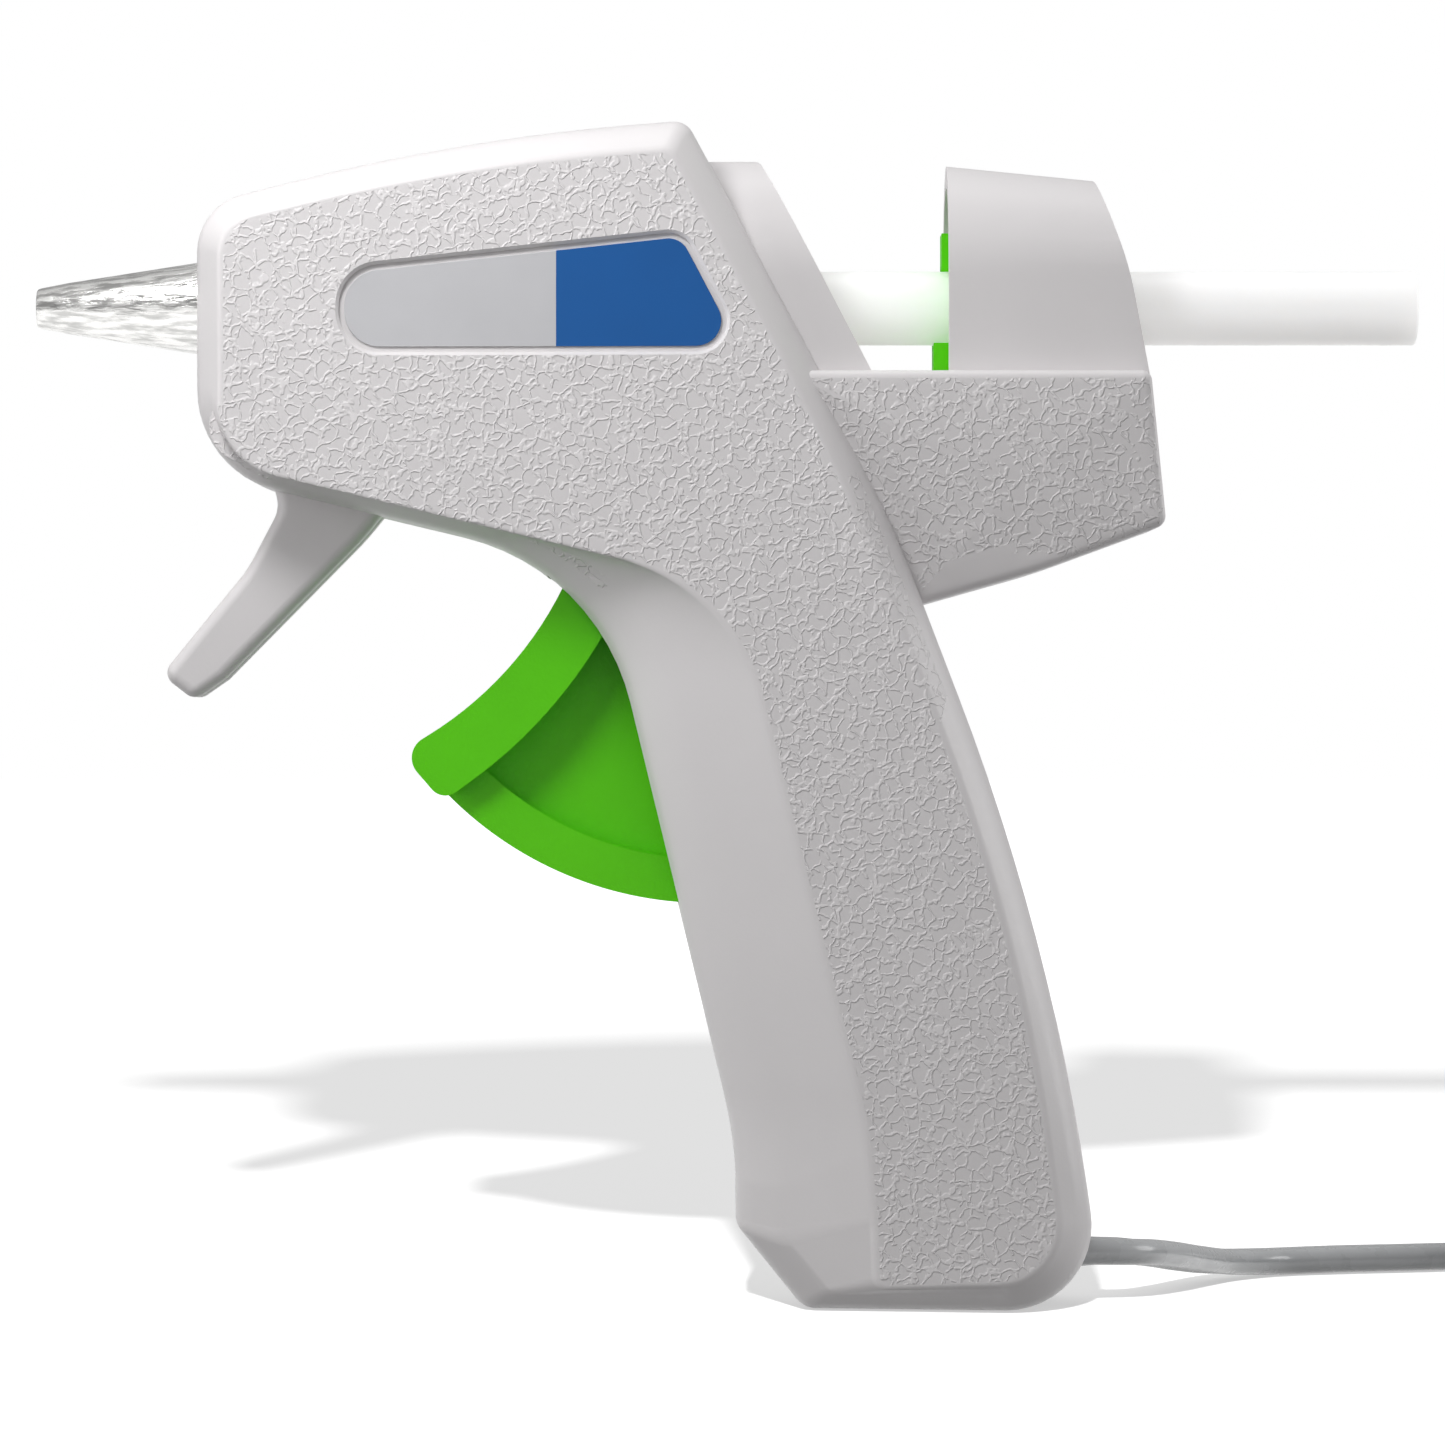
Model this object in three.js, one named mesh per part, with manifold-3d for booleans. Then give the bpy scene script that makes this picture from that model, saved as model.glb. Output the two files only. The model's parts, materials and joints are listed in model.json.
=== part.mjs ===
// Mini hot-glue gun with its glue stick, mains lead and plug, in millimetres.
// Frame: +X runs from the nozzle to the rear, +Z is up, and Y = 0 is the parting plane of the two
// half shells (the left shell is on the -Y side). The handle stands on Z = 0.
import * as THREE from 'three';
import { mergeVertices } from 'three/addons/utils/BufferGeometryUtils.js';
import Module from 'manifold-3d';

const wasm = await Module();
wasm.setup();

// ---- Driving dimensions -------------------------------------------------------------------
const GAP = 0.3;                 // clearance between neighbouring pieces
const PARTING = 0.15;            // each shell rim stops this far from Y = 0
const WALL = 2;                  // wall of the two shells
const BODY_HALF = 13;            // half width of the pistol body at its flat side
const RIM_HALF = 8.6;            // half width where that side starts to lean in
const REAR_LOW_HALF = 11.5;      // half width of the rear lower block
const REAR_TOP_HALF = 9;         // half width of the arched rear block and the front web
const REAR_TOP_WALL = 1.7;       // its wall
const LEG_HALF = 4.3;            // half width of the fixed stand leg
const SLOT_HALF = 6.3;           // half width of the trigger slot in the handle front

const AXIS_Z = 97.5;             // height of the nozzle and stick axis over the handle base
const STICK_R = 3.6;             // radius of a mini glue stick
const STICK_FRONT = -34.1;       // front end of the stick
const STICK_LENGTH = 101.6;      // a 4 inch stick
const STICK_FIT = 0.25;          // radial clearance round the stick in the chamber and sleeve
const STICK_HOLE_FIT = 0.7;      // radial clearance round it in the shells and the carriage
const FLOOR_DROP = 3;            // from the underside of the stick to the floor of the open notch

const TIP_X = -67.5;             // nozzle tip
const BARREL_FRONT = -51.3;      // front face of the barrel, where the nozzle leaves it
const NOZZLE_TIP_R = 1.95;
const NOZZLE_BASE_R = 4.55;
const NOZZLE_BORE_R = 0.9;
const CHAMBER_REAR = -14.5;
const CHAMBER_WALL = 1.65;
const SLEEVE_REAR = -4;
const SLEEVE_WALL = 1.4;         // wall of the silicone inlet sleeve
const HEATER_X = [-40, -24];     // front and rear end of the heater

const TRIGGER_R = 35;            // pivot to the outside of the trigger's bottom flange
const FLANGE_T = 3.4;            // radial thickness of that flange
const TRIGGER_TRAVEL = 22;       // degrees of squeeze
const AXLE_R = 2;
const WEB_HALF = 1.7;            // half thickness of the trigger web and its upper arm
const FLANGE_HALF = 3.7;
const LIP_HALF = 5.6;            // half width of the finger lip
const ARM_R = 12;                // pivot to the link pin
const LINK_LENGTH = 30.4;        // link pin to rear link pin
const LINK_T = 1.4;
const LINK_H = 3.4;
const LINK_ROOM = 0.4;           // between a feed link at its highest and the ceiling over it
const PIN_R = 1;
const CHEEK_T = 2;               // thickness of each cheek that carries the jaw
const OPEN_PIVOT_FIT = 0.45;     // radial clearance at the open pivot of the linkage
const JAW_RISE = 4;              // jaw pivot above the rear link pin
const SPRING_R = 2;              // mean radius of the return spring
const SPRING_WIRE_R = 0.3;
const SPRING_TURNS = 7;
const SPRING_LENGTH = 16.1;      // lower post to the hole in the trigger's tail

const SCREW_R = 1.3;
const SCREW_HEAD_R = 2.6;
const BOSS_R = 3;                // boss that a screw bites into
const SEAT_WALL = 0.8;           // how much wider the boss is that its head sits in
const SCREW_END = 4.8;           // from the left side's face to the tip of a screw
const DRIVE = 3;                 // length of each arm of a screw's cross recess
const DRIVE_T = 0.6;             // its width

const CORD_W = 5;                // width of the flat twin lead
const CORD_T = 2.6;              // its thickness
const CORD_SLOPE = 0.3;          // how much it drops for each mm of wall it passes through
const COIL_R = 28;               // radius of the middle of the coil's turns
const COIL_HALF = 6.2;           // half of the coil's radial thickness
const COIL_H = 10.6;
const TIE_T = 0.5;               // thickness of the tie that the coil lies on
const PLUG = [20, 24, 12];       // plug body: width, length, height
const BLADE = [1.5, 16, 6.3];    // each plug blade: thickness, length, height
const BLADE_PITCH = 12.7;        // between the two blades
const CLAMP_SCREW_R = 1;
const CLAMP_SCREW_REACH = 4.4;   // clamp screws above and below the lead
const ARCH_RISE = 11.65;         // rear block's crown over the spring line of its arch
const ARCH_SPRING = 2.7;         // that line over the axis
const REAR_ROOM = 33.3;          // rear end of the hollow in the rear block, at its top

// ---- Places that follow from the driving dimensions ---------------------------------------
const FLOOR_Z = AXIS_Z - STICK_R - FLOOR_DROP;
const PIVOT = [-1.9, FLOOR_Z - WALL - LINK_ROOM - LINK_H / 2 - ARM_R];
const REAR_ANGLE = THREE.MathUtils.degToRad(TRIGGER_TRAVEL / 2);
const LINK_PIN = [PIVOT[0] + ARM_R * Math.sin(REAR_ANGLE), PIVOT[1] + ARM_R * Math.cos(REAR_ANGLE)];
const REAR_PIN = [LINK_PIN[0] + LINK_LENGTH, LINK_PIN[1]];
const JAW_PIVOT = [REAR_PIN[0], REAR_PIN[1] + JAW_RISE];
const SPRING_X = PIVOT[0] + 11.9;
const SPRING_POST = [SPRING_X, PIVOT[1] - SPRING_LENGTH];
const LINK_Y = WEB_HALF + GAP;
const BORE_R = STICK_R + STICK_FIT;
const CHAMBER_R = BORE_R + CHAMBER_WALL;
const CHAMBER_FRONT = BARREL_FRONT + WALL + GAP;
const FLANGE_R = CHAMBER_R + 1.5;
const SLEEVE_R = BORE_R + SLEEVE_WALL + 0.85;
const HOLE_R = STICK_R + STICK_HOLE_FIT;
const PAD_Z = AXIS_Z - CHAMBER_R - 0.5;
const AXLE_HALF = BODY_HALF - 5.4;
const SCREW_SEAT_Y = BODY_HALF - 7;
const SCREW_PLACES = [
  [-46.2, AXIS_Z - 11.9],
  [-11, AXIS_Z + 11.2],
  [PIVOT[0] + 20.5, PIVOT[1] - 22.7],
  [11.5, 16],
  [36, FLOOR_Z - 11.7],
];
const CLAMP_X = 26;
const CLAMP_Z = 12;
const CLAMP_SCREWS = [-1, 1].map((side) => [CLAMP_X, CLAMP_Z + side * CLAMP_SCREW_REACH]);
const CORD_END_X = CLAMP_X - 3.5;
const COIL_CENTRE = [112.5, 21];
const COIL_ENTRY = 110;          // degrees round the coil at which the lead joins its outer turn
const CORD_EXIT = [36.1, 5.2];

// Outlines in the X-Z plane, clockwise, each corner as [x, z, radius].
const BODY = [
  [BARREL_FRONT, AXIS_Z + 9.5, 5.8],
  [-24.1, AXIS_Z + 16.2, 205],
  [-3.9, AXIS_Z + 17.7, 2],
  [13.1, AXIS_Z - 13.6, 235],
  [31.3, 36.4, 225],
  [36.7, 0, 8.3],
  [7.5, 0, 2.2],
  [0.9, 8.2, 2.2],
  [0.8, 16.4, 37],
  [-12.6, AXIS_Z - 25.5, 22.3],
  [BARREL_FRONT, AXIS_Z - 16.2, 9.9],
];
const SIDE_PANEL = [
  [BARREL_FRONT + 2.5, AXIS_Z + 7.6, 4],
  [-24.3, AXIS_Z + 13.4, 200],
  [-5.3, AXIS_Z + 14.7, 1.5],
  [10.6, AXIS_Z - 14.5, 235],
  [28.4, 36.3, 190],
  [32.9, 3, 6],
  [14.3, 2.4, 0.8],
  [14.1, 9.2, 20],
  [13.3, 18, 37],
  [0.5, AXIS_Z - 27.5, 17.6],
  [BARREL_FRONT + 2.5, AXIS_Z - 15.7, 7],
];
const REAR_LOW = [
  [6.1, FLOOR_Z, 0.3],
  [40.9, FLOOR_Z, 0.8],
  [42.5, FLOOR_Z - 14.8, 1.2],
  [30.2, FLOOR_Z - 19.3, 60],
  [18.2, FLOOR_Z - 22.7, 0.3],
];
const REAR_TOP = [
  [21.5, AXIS_Z + 13.9, 0.8],
  [35.8, AXIS_Z + 12.4, 1],
  [39, AXIS_Z + 3.3, 40],
  [41, FLOOR_Z - 0.8, 0.3],
  [21.5, FLOOR_Z - 0.8, 0.3],
];
const WEB = [
  [-3, AXIS_Z + 14.4, 0.3],
  [3.1, AXIS_Z + 14.4, 1],
  [14.4, FLOOR_Z - 0.7, 0.3],
  [7.1, FLOOR_Z - 0.7, 0.3],
];
const LEG = [
  [-44.7, AXIS_Z - 16.4, 0.3],
  [-32.8, AXIS_Z - 19.1, 0.3],
  [-35.3, AXIS_Z - 22.5, 30],
  [-48.9, AXIS_Z - 36.3, 1],
  [-51.9, AXIS_Z - 38.4, 0.8],
  [-55.1, AXIS_Z - 35.9, 1],
  [-46.7, AXIS_Z - 25.6, 12],
  [-43.3, AXIS_Z - 19.7, 3],
];
const LABEL = [
  [-37.3, AXIS_Z + 3.1, 4],
  [-4.1, AXIS_Z + 6.7, 2.6],
  [2, AXIS_Z - 4.9, 3],
  [-37.3, AXIS_Z - 5, 4],
];

// ---- Materials ----------------------------------------------------------------------------
function finish(color, roughness, metalness = 0) {
  return new THREE.MeshStandardMaterial({ color, roughness, metalness });
}

const WHITE_PLASTIC = finish(0xe9e8ea, 0.5);
const GREEN_PLASTIC = finish(0x3fa500, 0.42);
const NICKEL = finish(0xc9c8c4, 0.25, 1);
const ALUMINIUM = finish(0xb9bcc0, 0.4, 1);
const STEEL = finish(0x9fa3a8, 0.35, 1);
const BRASS = finish(0xc9a352, 0.35, 1);
const CERAMIC = finish(0xd8d2c4, 0.8);
const FILM = finish(0xc98a2b, 0.4);
const SILICONE = finish(0xb5452f, 0.6);
const GLUE = finish(0xeceef0, 0.35);
const STICKER = finish(0x2f6fb3, 0.4);
const LEAD_GREY = finish(0xb9bbbd, 0.35);
const LEAD_RED = finish(0x9c2f2a, 0.5);
const LEAD_BLACK = finish(0x2a2b2d, 0.5);
const PAPER = finish(0xf1f0ec, 0.8);

// ---- Shape helpers ------------------------------------------------------------------------
const group = new THREE.Group();

function signedVolume(positions, index) {
  const [a, b, c] = [new THREE.Vector3(), new THREE.Vector3(), new THREE.Vector3()];
  let sum = 0;
  for (let k = 0; k < index.length; k += 3) {
    a.fromArray(positions, index[k] * 3);
    b.fromArray(positions, index[k + 1] * 3);
    c.fromArray(positions, index[k + 2] * 3);
    sum += a.dot(b.cross(c));
  }
  return sum;
}

// A closed geometry as a solid, with its faces turned outward.
function toSolid(geometry) {
  const bare = geometry.clone();
  bare.deleteAttribute('normal');
  bare.deleteAttribute('uv');
  const merged = mergeVertices(bare, 1e-4);
  const vertProperties = new Float32Array(merged.attributes.position.array);
  const triVerts = new Uint32Array(merged.index.array);
  if (signedVolume(vertProperties, triVerts) < 0) triVerts.reverse();
  return new wasm.Manifold(new wasm.Mesh({ numProp: 3, vertProperties, triVerts }));
}

function toGeometry(solid) {
  const mesh = solid.getMesh();
  const geometry = new THREE.BufferGeometry();
  geometry.setAttribute('position', new THREE.BufferAttribute(mesh.vertProperties, 3));
  geometry.setIndex(new THREE.BufferAttribute(mesh.triVerts, 1));
  return geometry;
}

function add(name, solid, material) {
  const mesh = new THREE.Mesh(toGeometry(solid), material);
  mesh.name = name;
  group.add(mesh);
}

function join(...solids) {
  return solids.reduce((whole, solid) => whole.add(solid));
}

function cut(solid, ...tools) {
  return tools.reduce((left, tool) => left.subtract(tool), solid);
}

// The same solid on the other side of the parting plane.
function mirrorY(solid) {
  const { vertProperties, triVerts } = solid.getMesh();
  for (let k = 1; k < vertProperties.length; k += 3) vertProperties[k] *= -1;
  return new wasm.Manifold(new wasm.Mesh({ numProp: 3, vertProperties, triVerts: triVerts.reverse() }));
}

// The corners of a clockwise polygon moved inward by a distance.
function inset(corners, distance) {
  const count = corners.length;
  return corners.map(([x, z, radius], i) => {
    const [px, pz] = corners[(i + count - 1) % count];
    const [nx, nz] = corners[(i + 1) % count];
    const before = new THREE.Vector2(x - px, z - pz).normalize();
    const after = new THREE.Vector2(nx - x, nz - z).normalize();
    const reach = distance / (1 + before.dot(after));
    const convex = before.cross(after) < 0;
    return [
      x + reach * (before.y + after.y),
      z - reach * (before.x + after.x),
      convex ? Math.max(radius - distance, 0.3) : radius + distance,
    ];
  });
}

// The points of a polygon with rounded corners, with the same count of points at each corner.
function rounded(corners, steps = 4) {
  const count = corners.length;
  return corners.flatMap(([x, z, radius], i) => {
    const here = new THREE.Vector2(x, z);
    const before = new THREE.Vector2(...corners[(i + count - 1) % count]).sub(here).normalize();
    const after = new THREE.Vector2(...corners[(i + 1) % count]).sub(here).normalize();
    const half = Math.acos(before.dot(after)) / 2;
    const bisector = before.clone().add(after).normalize();
    const centre = here.clone().addScaledVector(bisector, radius / Math.sin(half));
    const start = here.clone().addScaledVector(before, radius / Math.tan(half));
    const sweep = Math.sign(after.cross(before)) * (Math.PI - 2 * half);
    const stops = [...Array(steps + 1).keys()];
    return stops.map((k) => start.clone().rotateAround(centre, (sweep * k) / steps));
  });
}

// A slab whose outline lies in the X-Z plane, between two values of Y.
function plate(points, y0, y1) {
  const depth = y1 - y0;
  const geometry = new THREE.ExtrudeGeometry(new THREE.Shape(points), { depth, bevelEnabled: false });
  geometry.rotateX(Math.PI / 2);
  geometry.translate(0, y1, 0);
  return toSolid(geometry);
}

// A slab whose outline lies in the Y-Z plane, between two values of X.
function crossSlab(points, x0, x1) {
  const depth = x1 - x0;
  const geometry = new THREE.ExtrudeGeometry(new THREE.Shape(points), { depth, bevelEnabled: false });
  geometry.rotateX(Math.PI / 2);
  geometry.rotateZ(Math.PI / 2);
  geometry.translate(x0, 0, 0);
  return toSolid(geometry);
}

// The triangles over an outline, all with the same turn in the X-Z plane.
function capTriangles(points, clockwise) {
  return THREE.ShapeUtils.triangulateShape(points, []).map(([a, b, c]) => {
    const turnsLeft = THREE.ShapeUtils.area([points[a], points[b], points[c]]) > 0;
    return turnsLeft === clockwise ? [a, c, b] : [a, b, c];
  });
}

// A solid whose sides join clockwise outlines of equal point counts, each at its own Y.
function loft(...rings) {
  const size = rings[0].points.length;
  const far = (rings.length - 1) * size;
  const positions = rings.flatMap(({ points, y }) => points.flatMap((p) => [p.x, y, p.y]));
  const index = [];
  for (let a = 0; a < far; a += 1) {
    const b = (a + 1) % size ? a + 1 : a + 1 - size;
    index.push(a, b, a + size, b, b + size, a + size);
  }
  index.push(...capTriangles(rings[0].points, false).flat());
  index.push(...capTriangles(rings.at(-1).points, true).flat().map((k) => far + k));
  const geometry = new THREE.BufferGeometry();
  geometry.setAttribute('position', new THREE.Float32BufferAttribute(positions, 3));
  geometry.setIndex(index);
  return toSolid(geometry);
}

function box(x0, x1, y0, y1, z0, z1) {
  const geometry = new THREE.BoxGeometry(x1 - x0, y1 - y0, z1 - z0);
  geometry.translate((x0 + x1) / 2, (y0 + y1) / 2, (z0 + z1) / 2);
  return toSolid(geometry);
}

function pinY([x, z], radius, y0, y1, sides = 20) {
  const geometry = new THREE.CylinderGeometry(radius, radius, y1 - y0, sides);
  geometry.translate(x, (y0 + y1) / 2, z);
  return toSolid(geometry);
}

function rodX(radius, x0, x1, sides = 28) {
  const geometry = new THREE.CylinderGeometry(radius, radius, x1 - x0, sides);
  geometry.rotateZ(-Math.PI / 2);
  geometry.translate((x0 + x1) / 2, 0, AXIS_Z);
  return toSolid(geometry);
}

// A solid turned about the stick axis from a closed profile of [x, radius] points.
function turned(profile, sides = 28) {
  const points = profile.map(([x, radius]) => new THREE.Vector2(radius, x));
  const geometry = new THREE.LatheGeometry([...points, points[0].clone()], sides);
  geometry.rotateZ(-Math.PI / 2);
  geometry.translate(0, 0, AXIS_Z);
  return toSolid(geometry);
}

// A smooth route along which a flat lead keeps its wide side level.
class LevelRoute extends THREE.CatmullRomCurve3 {
  computeFrenetFrames(segments) {
    const frames = super.computeFrenetFrames(segments, false);
    frames.normals = frames.tangents.map((t) => new THREE.Vector3(-t.y, t.x, 0).normalize());
    frames.binormals = frames.tangents.map((t, i) => t.clone().cross(frames.normals[i]));
    return frames;
  }
}

// A solid of oval section along a smooth route.
function swept(route, halfWide, halfTall, steps, sides) {
  const spokes = [...Array(sides).keys()].map((k) => (2 * Math.PI * (k + 0.5)) / sides);
  const corners = spokes.map((a) => new THREE.Vector2(halfWide * Math.cos(a), halfTall * Math.sin(a)));
  const options = { steps, extrudePath: route, bevelEnabled: false };
  return toSolid(new THREE.ExtrudeGeometry(new THREE.Shape(corners), options));
}

function wire(points, radius, steps, sides) {
  const route = new THREE.CatmullRomCurve3(points.map((p) => new THREE.Vector3(...p)));
  route.curveType = 'centripetal';
  return swept(route, radius, radius, steps, sides);
}

function flatCord(points, steps) {
  const route = new LevelRoute(points.map((p) => new THREE.Vector3(...p)));
  return swept(route, CORD_W / 2, CORD_T / 2, steps, 8);
}

// ---- Half shells --------------------------------------------------------------------------
// Each helper here makes the half on the +Y side.
function bodyHalf() {
  return loft(
    { points: rounded(BODY), y: PARTING },
    { points: rounded(BODY), y: RIM_HALF },
    { points: rounded(SIDE_PANEL), y: BODY_HALF },
  );
}

function bodyHollow() {
  return loft(
    { points: rounded(inset(BODY, WALL)), y: -1 },
    { points: rounded(inset(BODY, WALL)), y: RIM_HALF - WALL / 2 },
    { points: rounded(inset(SIDE_PANEL, WALL / 2)), y: BODY_HALF - WALL },
  );
}

function rearLowHalf() {
  return loft(
    { points: rounded(REAR_LOW), y: PARTING },
    { points: rounded(REAR_LOW), y: REAR_LOW_HALF - 1 },
    { points: rounded(inset(REAR_LOW, 1)), y: REAR_LOW_HALF },
  );
}

function rearLowHollow() {
  return plate(rounded(inset(REAR_LOW, WALL)), -1, REAR_LOW_HALF - WALL);
}

function archPoints(halfWidth, crown) {
  const spring = AXIS_Z + ARCH_SPRING;
  const angles = [...Array(9).keys()].map((k) => (Math.PI * k) / 8);
  const arch = angles.map((a) => new THREE.Vector2(halfWidth * Math.cos(a), spring + crown * Math.sin(a)));
  const foot = FLOOR_Z - 3;
  return [...arch, new THREE.Vector2(-halfWidth, foot), new THREE.Vector2(halfWidth, foot)];
}

function rearTopHalf() {
  const side = plate(rounded(REAR_TOP), PARTING, REAR_TOP_HALF);
  return side.intersect(crossSlab(archPoints(REAR_TOP_HALF, ARCH_RISE), 15, 50));
}

function rearTopHollow() {
  const inner = REAR_TOP_HALF - REAR_TOP_WALL;
  const side = plate([
    new THREE.Vector2(15, AXIS_Z + 20),
    new THREE.Vector2(REAR_ROOM, AXIS_Z + 20),
    new THREE.Vector2(38.9, FLOOR_Z - 0.01),
    new THREE.Vector2(15, FLOOR_Z - 0.01),
  ], -1, inner);
  return side.intersect(crossSlab(archPoints(inner, ARCH_RISE - REAR_TOP_WALL - 0.35), 14, 50));
}

// The slot in the notch floor that the carriage's cheeks and jaw slide in.
function jawPassage() {
  const [front, rear] = [REAR_PIN[0] - 8.2, REAR_PIN[0] + 4];
  return box(front, rear, -1, LINK_Y + CHEEK_T + GAP, FLOOR_Z - WALL - 1, FLOOR_Z + 1);
}

function triggerSlot() {
  const inside = plate(rounded(inset(BODY, WALL + 1.5)), -2, 20);
  const frontWall = cut(plate(rounded(BODY), -1, SLOT_HALF), inside);
  const reach = [
    new THREE.Vector2(-17.4, PIVOT[1] + 2),
    new THREE.Vector2(-17.4, PIVOT[1] - 22),
    new THREE.Vector2(-12, PIVOT[1] - TRIGGER_R - 2),
    new THREE.Vector2(-6, PIVOT[1] - TRIGGER_R - 0.8),
    new THREE.Vector2(4, PIVOT[1] - TRIGGER_R - 0.8),
    new THREE.Vector2(4, PIVOT[1] + 2),
  ];
  return frontWall.intersect(plate(reach, -1, SLOT_HALF));
}

// The body up to the middle of its wall, where its ribs and bosses end.
function bodyCore() {
  return loft(
    { points: rounded(inset(BODY, WALL / 2)), y: PARTING },
    { points: rounded(inset(BODY, WALL / 2)), y: RIM_HALF - WALL / 4 },
    { points: rounded(inset(SIDE_PANEL, WALL / 4)), y: BODY_HALF - WALL / 2 },
  );
}

// A rib across the barrel with a hole for a round piece on the stick axis.
function barrelRib(x, holeRadius) {
  const slab = box(x, x + WALL / 2, PARTING, BODY_HALF - 0.5, AXIS_Z - 30, AXIS_Z + 30);
  const window = box(x - 1, x + 3, -1, BODY_HALF, AXIS_Z - 40, AXIS_Z - holeRadius - 4);
  return cut(slab.intersect(bodyCore()), rodX(holeRadius, x - 2, x + 3), window);
}

function halfShell() {
  const outside = join(
    bodyHalf(),
    rearLowHalf(),
    rearTopHalf(),
    plate(rounded(WEB), PARTING, REAR_TOP_HALF),
  );
  const linkPassage = box(PIVOT[0] + 6, PIVOT[0] + 18, -1, 7, LINK_PIN[1] - 4, FLOOR_Z - WALL);
  const hollow = join(bodyHollow(), rearLowHollow(), rearTopHollow(), linkPassage, jawPassage());
  const walls = cut(outside, hollow, triggerSlot());
  const axleBoss = pinY(PIVOT, AXLE_R + 2.4, FLANGE_HALF + 0.8, BODY_HALF - WALL / 2);
  const fitted = join(
    walls,
    plate(rounded(LEG), PARTING, LEG_HALF),
    barrelRib(CHAMBER_FRONT + 4.4, CHAMBER_R + GAP),
    barrelRib(SLEEVE_REAR - 5.4, SLEEVE_R + GAP),
    axleBoss,
  );
  const label = plate(rounded(LABEL), BODY_HALF - 0.7, BODY_HALF + 1);
  const cordHole = box(CORD_EXIT[0] - 5, CORD_EXIT[0] + 4, -1, CORD_W / 2 + GAP,
    CORD_EXIT[1] - CORD_T / 2 - GAP, CORD_EXIT[1] + CORD_T / 2 + GAP + CORD_SLOPE * WALL);
  return cut(
    fitted,
    rodX(NOZZLE_BASE_R + GAP, BARREL_FRONT - 3, BARREL_FRONT + 4),
    rodX(HOLE_R, -3, 60),
    pinY(PIVOT, AXLE_R + GAP, -1, AXLE_HALF + GAP),
    label,
    cordHole,
  );
}

function leftShell() {
  const bosses = SCREW_PLACES.map((place, i) => screwBoss(place, i, BOSS_R));
  const pilots = SCREW_PLACES.map((place) => pinY(place, SCREW_R + GAP, -1, BODY_HALF - 4.5));
  const clampBosses = CLAMP_SCREWS.map((place) => pinY(place, 2.4, -CORD_W / 2, BODY_HALF - WALL / 2));
  const clampPilots = CLAMP_SCREWS.map((place) => pinY(place, CLAMP_SCREW_R + GAP, -9, 5.5, 12));
  const post = pinY(SPRING_POST, 1.3, -1.2, BODY_HALF - WALL / 2);
  const shell = cut(join(halfShell(), ...bosses, ...clampBosses), ...pilots, ...clampPilots);
  return mirrorY(join(shell, post));
}

function rightShell() {
  const bosses = SCREW_PLACES.map((place, i) => screwBoss(place, i, BOSS_R + SEAT_WALL));
  const holes = SCREW_PLACES.map((place) => pinY(place, SCREW_R + GAP, -1, BODY_HALF));
  const seats = SCREW_PLACES.map((place) => pinY(place, SCREW_HEAD_R + GAP, SCREW_SEAT_Y, BODY_HALF + 1));
  return cut(join(halfShell(), ...bosses), ...holes, ...seats);
}

// The bosses end inside the wall. The last one stands in the rear lower block.
function screwBoss(place, i, radius) {
  const last = i === SCREW_PLACES.length - 1;
  const post = pinY(place, radius, PARTING, (last ? REAR_LOW_HALF : BODY_HALF) - WALL / 2);
  return last ? post : post.intersect(bodyCore());
}

add('left_shell', leftShell(), WHITE_PLASTIC);
add('right_shell', rightShell(), WHITE_PLASTIC);

// ---- Stickers in the side recesses --------------------------------------------------------
const sticker = plate(rounded(inset(LABEL, 1.2)), BODY_HALF - 0.6, BODY_HALF - 0.3);
add('left_label', mirrorY(sticker), STICKER);
add('right_label', sticker, STICKER);

// ---- Nozzle, melt chamber and inlet sleeve ------------------------------------------------
const STUB_REAR = CHAMBER_FRONT + 5.4;
const STUB_R = CHAMBER_R - 2.5;

add('nozzle', turned([
  [TIP_X, NOZZLE_BORE_R],
  [TIP_X, NOZZLE_TIP_R - 0.4],
  [TIP_X + 0.4, NOZZLE_TIP_R],
  [BARREL_FRONT, NOZZLE_BASE_R],
  [CHAMBER_FRONT - GAP, NOZZLE_BASE_R],
  [CHAMBER_FRONT - GAP, STUB_R],
  [STUB_REAR, STUB_R],
  [STUB_REAR, NOZZLE_BORE_R + 1],
  [BARREL_FRONT + 2, NOZZLE_BORE_R],
]), NICKEL);

const SPIGOT_FRONT = CHAMBER_REAR - 3.5;
const SPIGOT_R = BORE_R + 0.85;

const HEATER_SADDLE = cut(
  box(HEATER_X[0] - 1, HEATER_X[1] + 1, -4, 4, PAD_Z, AXIS_Z - BORE_R - 0.4),
  rodX(BORE_R + 0.4, -60, 0),
);

add('melt_chamber', join(
  turned([
    [CHAMBER_FRONT, STUB_R + GAP],
    [CHAMBER_FRONT, CHAMBER_R],
    [CHAMBER_FRONT + 1.8, CHAMBER_R],
    [CHAMBER_FRONT + 1.8, FLANGE_R],
    [CHAMBER_FRONT + 3.2, FLANGE_R],
    [CHAMBER_FRONT + 3.2, CHAMBER_R],
    [SPIGOT_FRONT, CHAMBER_R],
    [SPIGOT_FRONT, SPIGOT_R],
    [CHAMBER_REAR, SPIGOT_R],
    [CHAMBER_REAR, BORE_R],
    [STUB_REAR + 1.6, BORE_R],
    [STUB_REAR + 0.6, NOZZLE_BORE_R + 1],
    [STUB_REAR + 0.3, STUB_R + GAP],
  ]),
  HEATER_SADDLE,
), ALUMINIUM);

add('inlet_sleeve', turned([
  [SPIGOT_FRONT + GAP, SPIGOT_R + GAP],
  [SPIGOT_FRONT + GAP, SLEEVE_R],
  [SLEEVE_REAR, SLEEVE_R],
  [SLEEVE_REAR, BORE_R],
  [CHAMBER_REAR + GAP, BORE_R],
  [CHAMBER_REAR + GAP, SPIGOT_R + GAP],
]), SILICONE);

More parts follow.
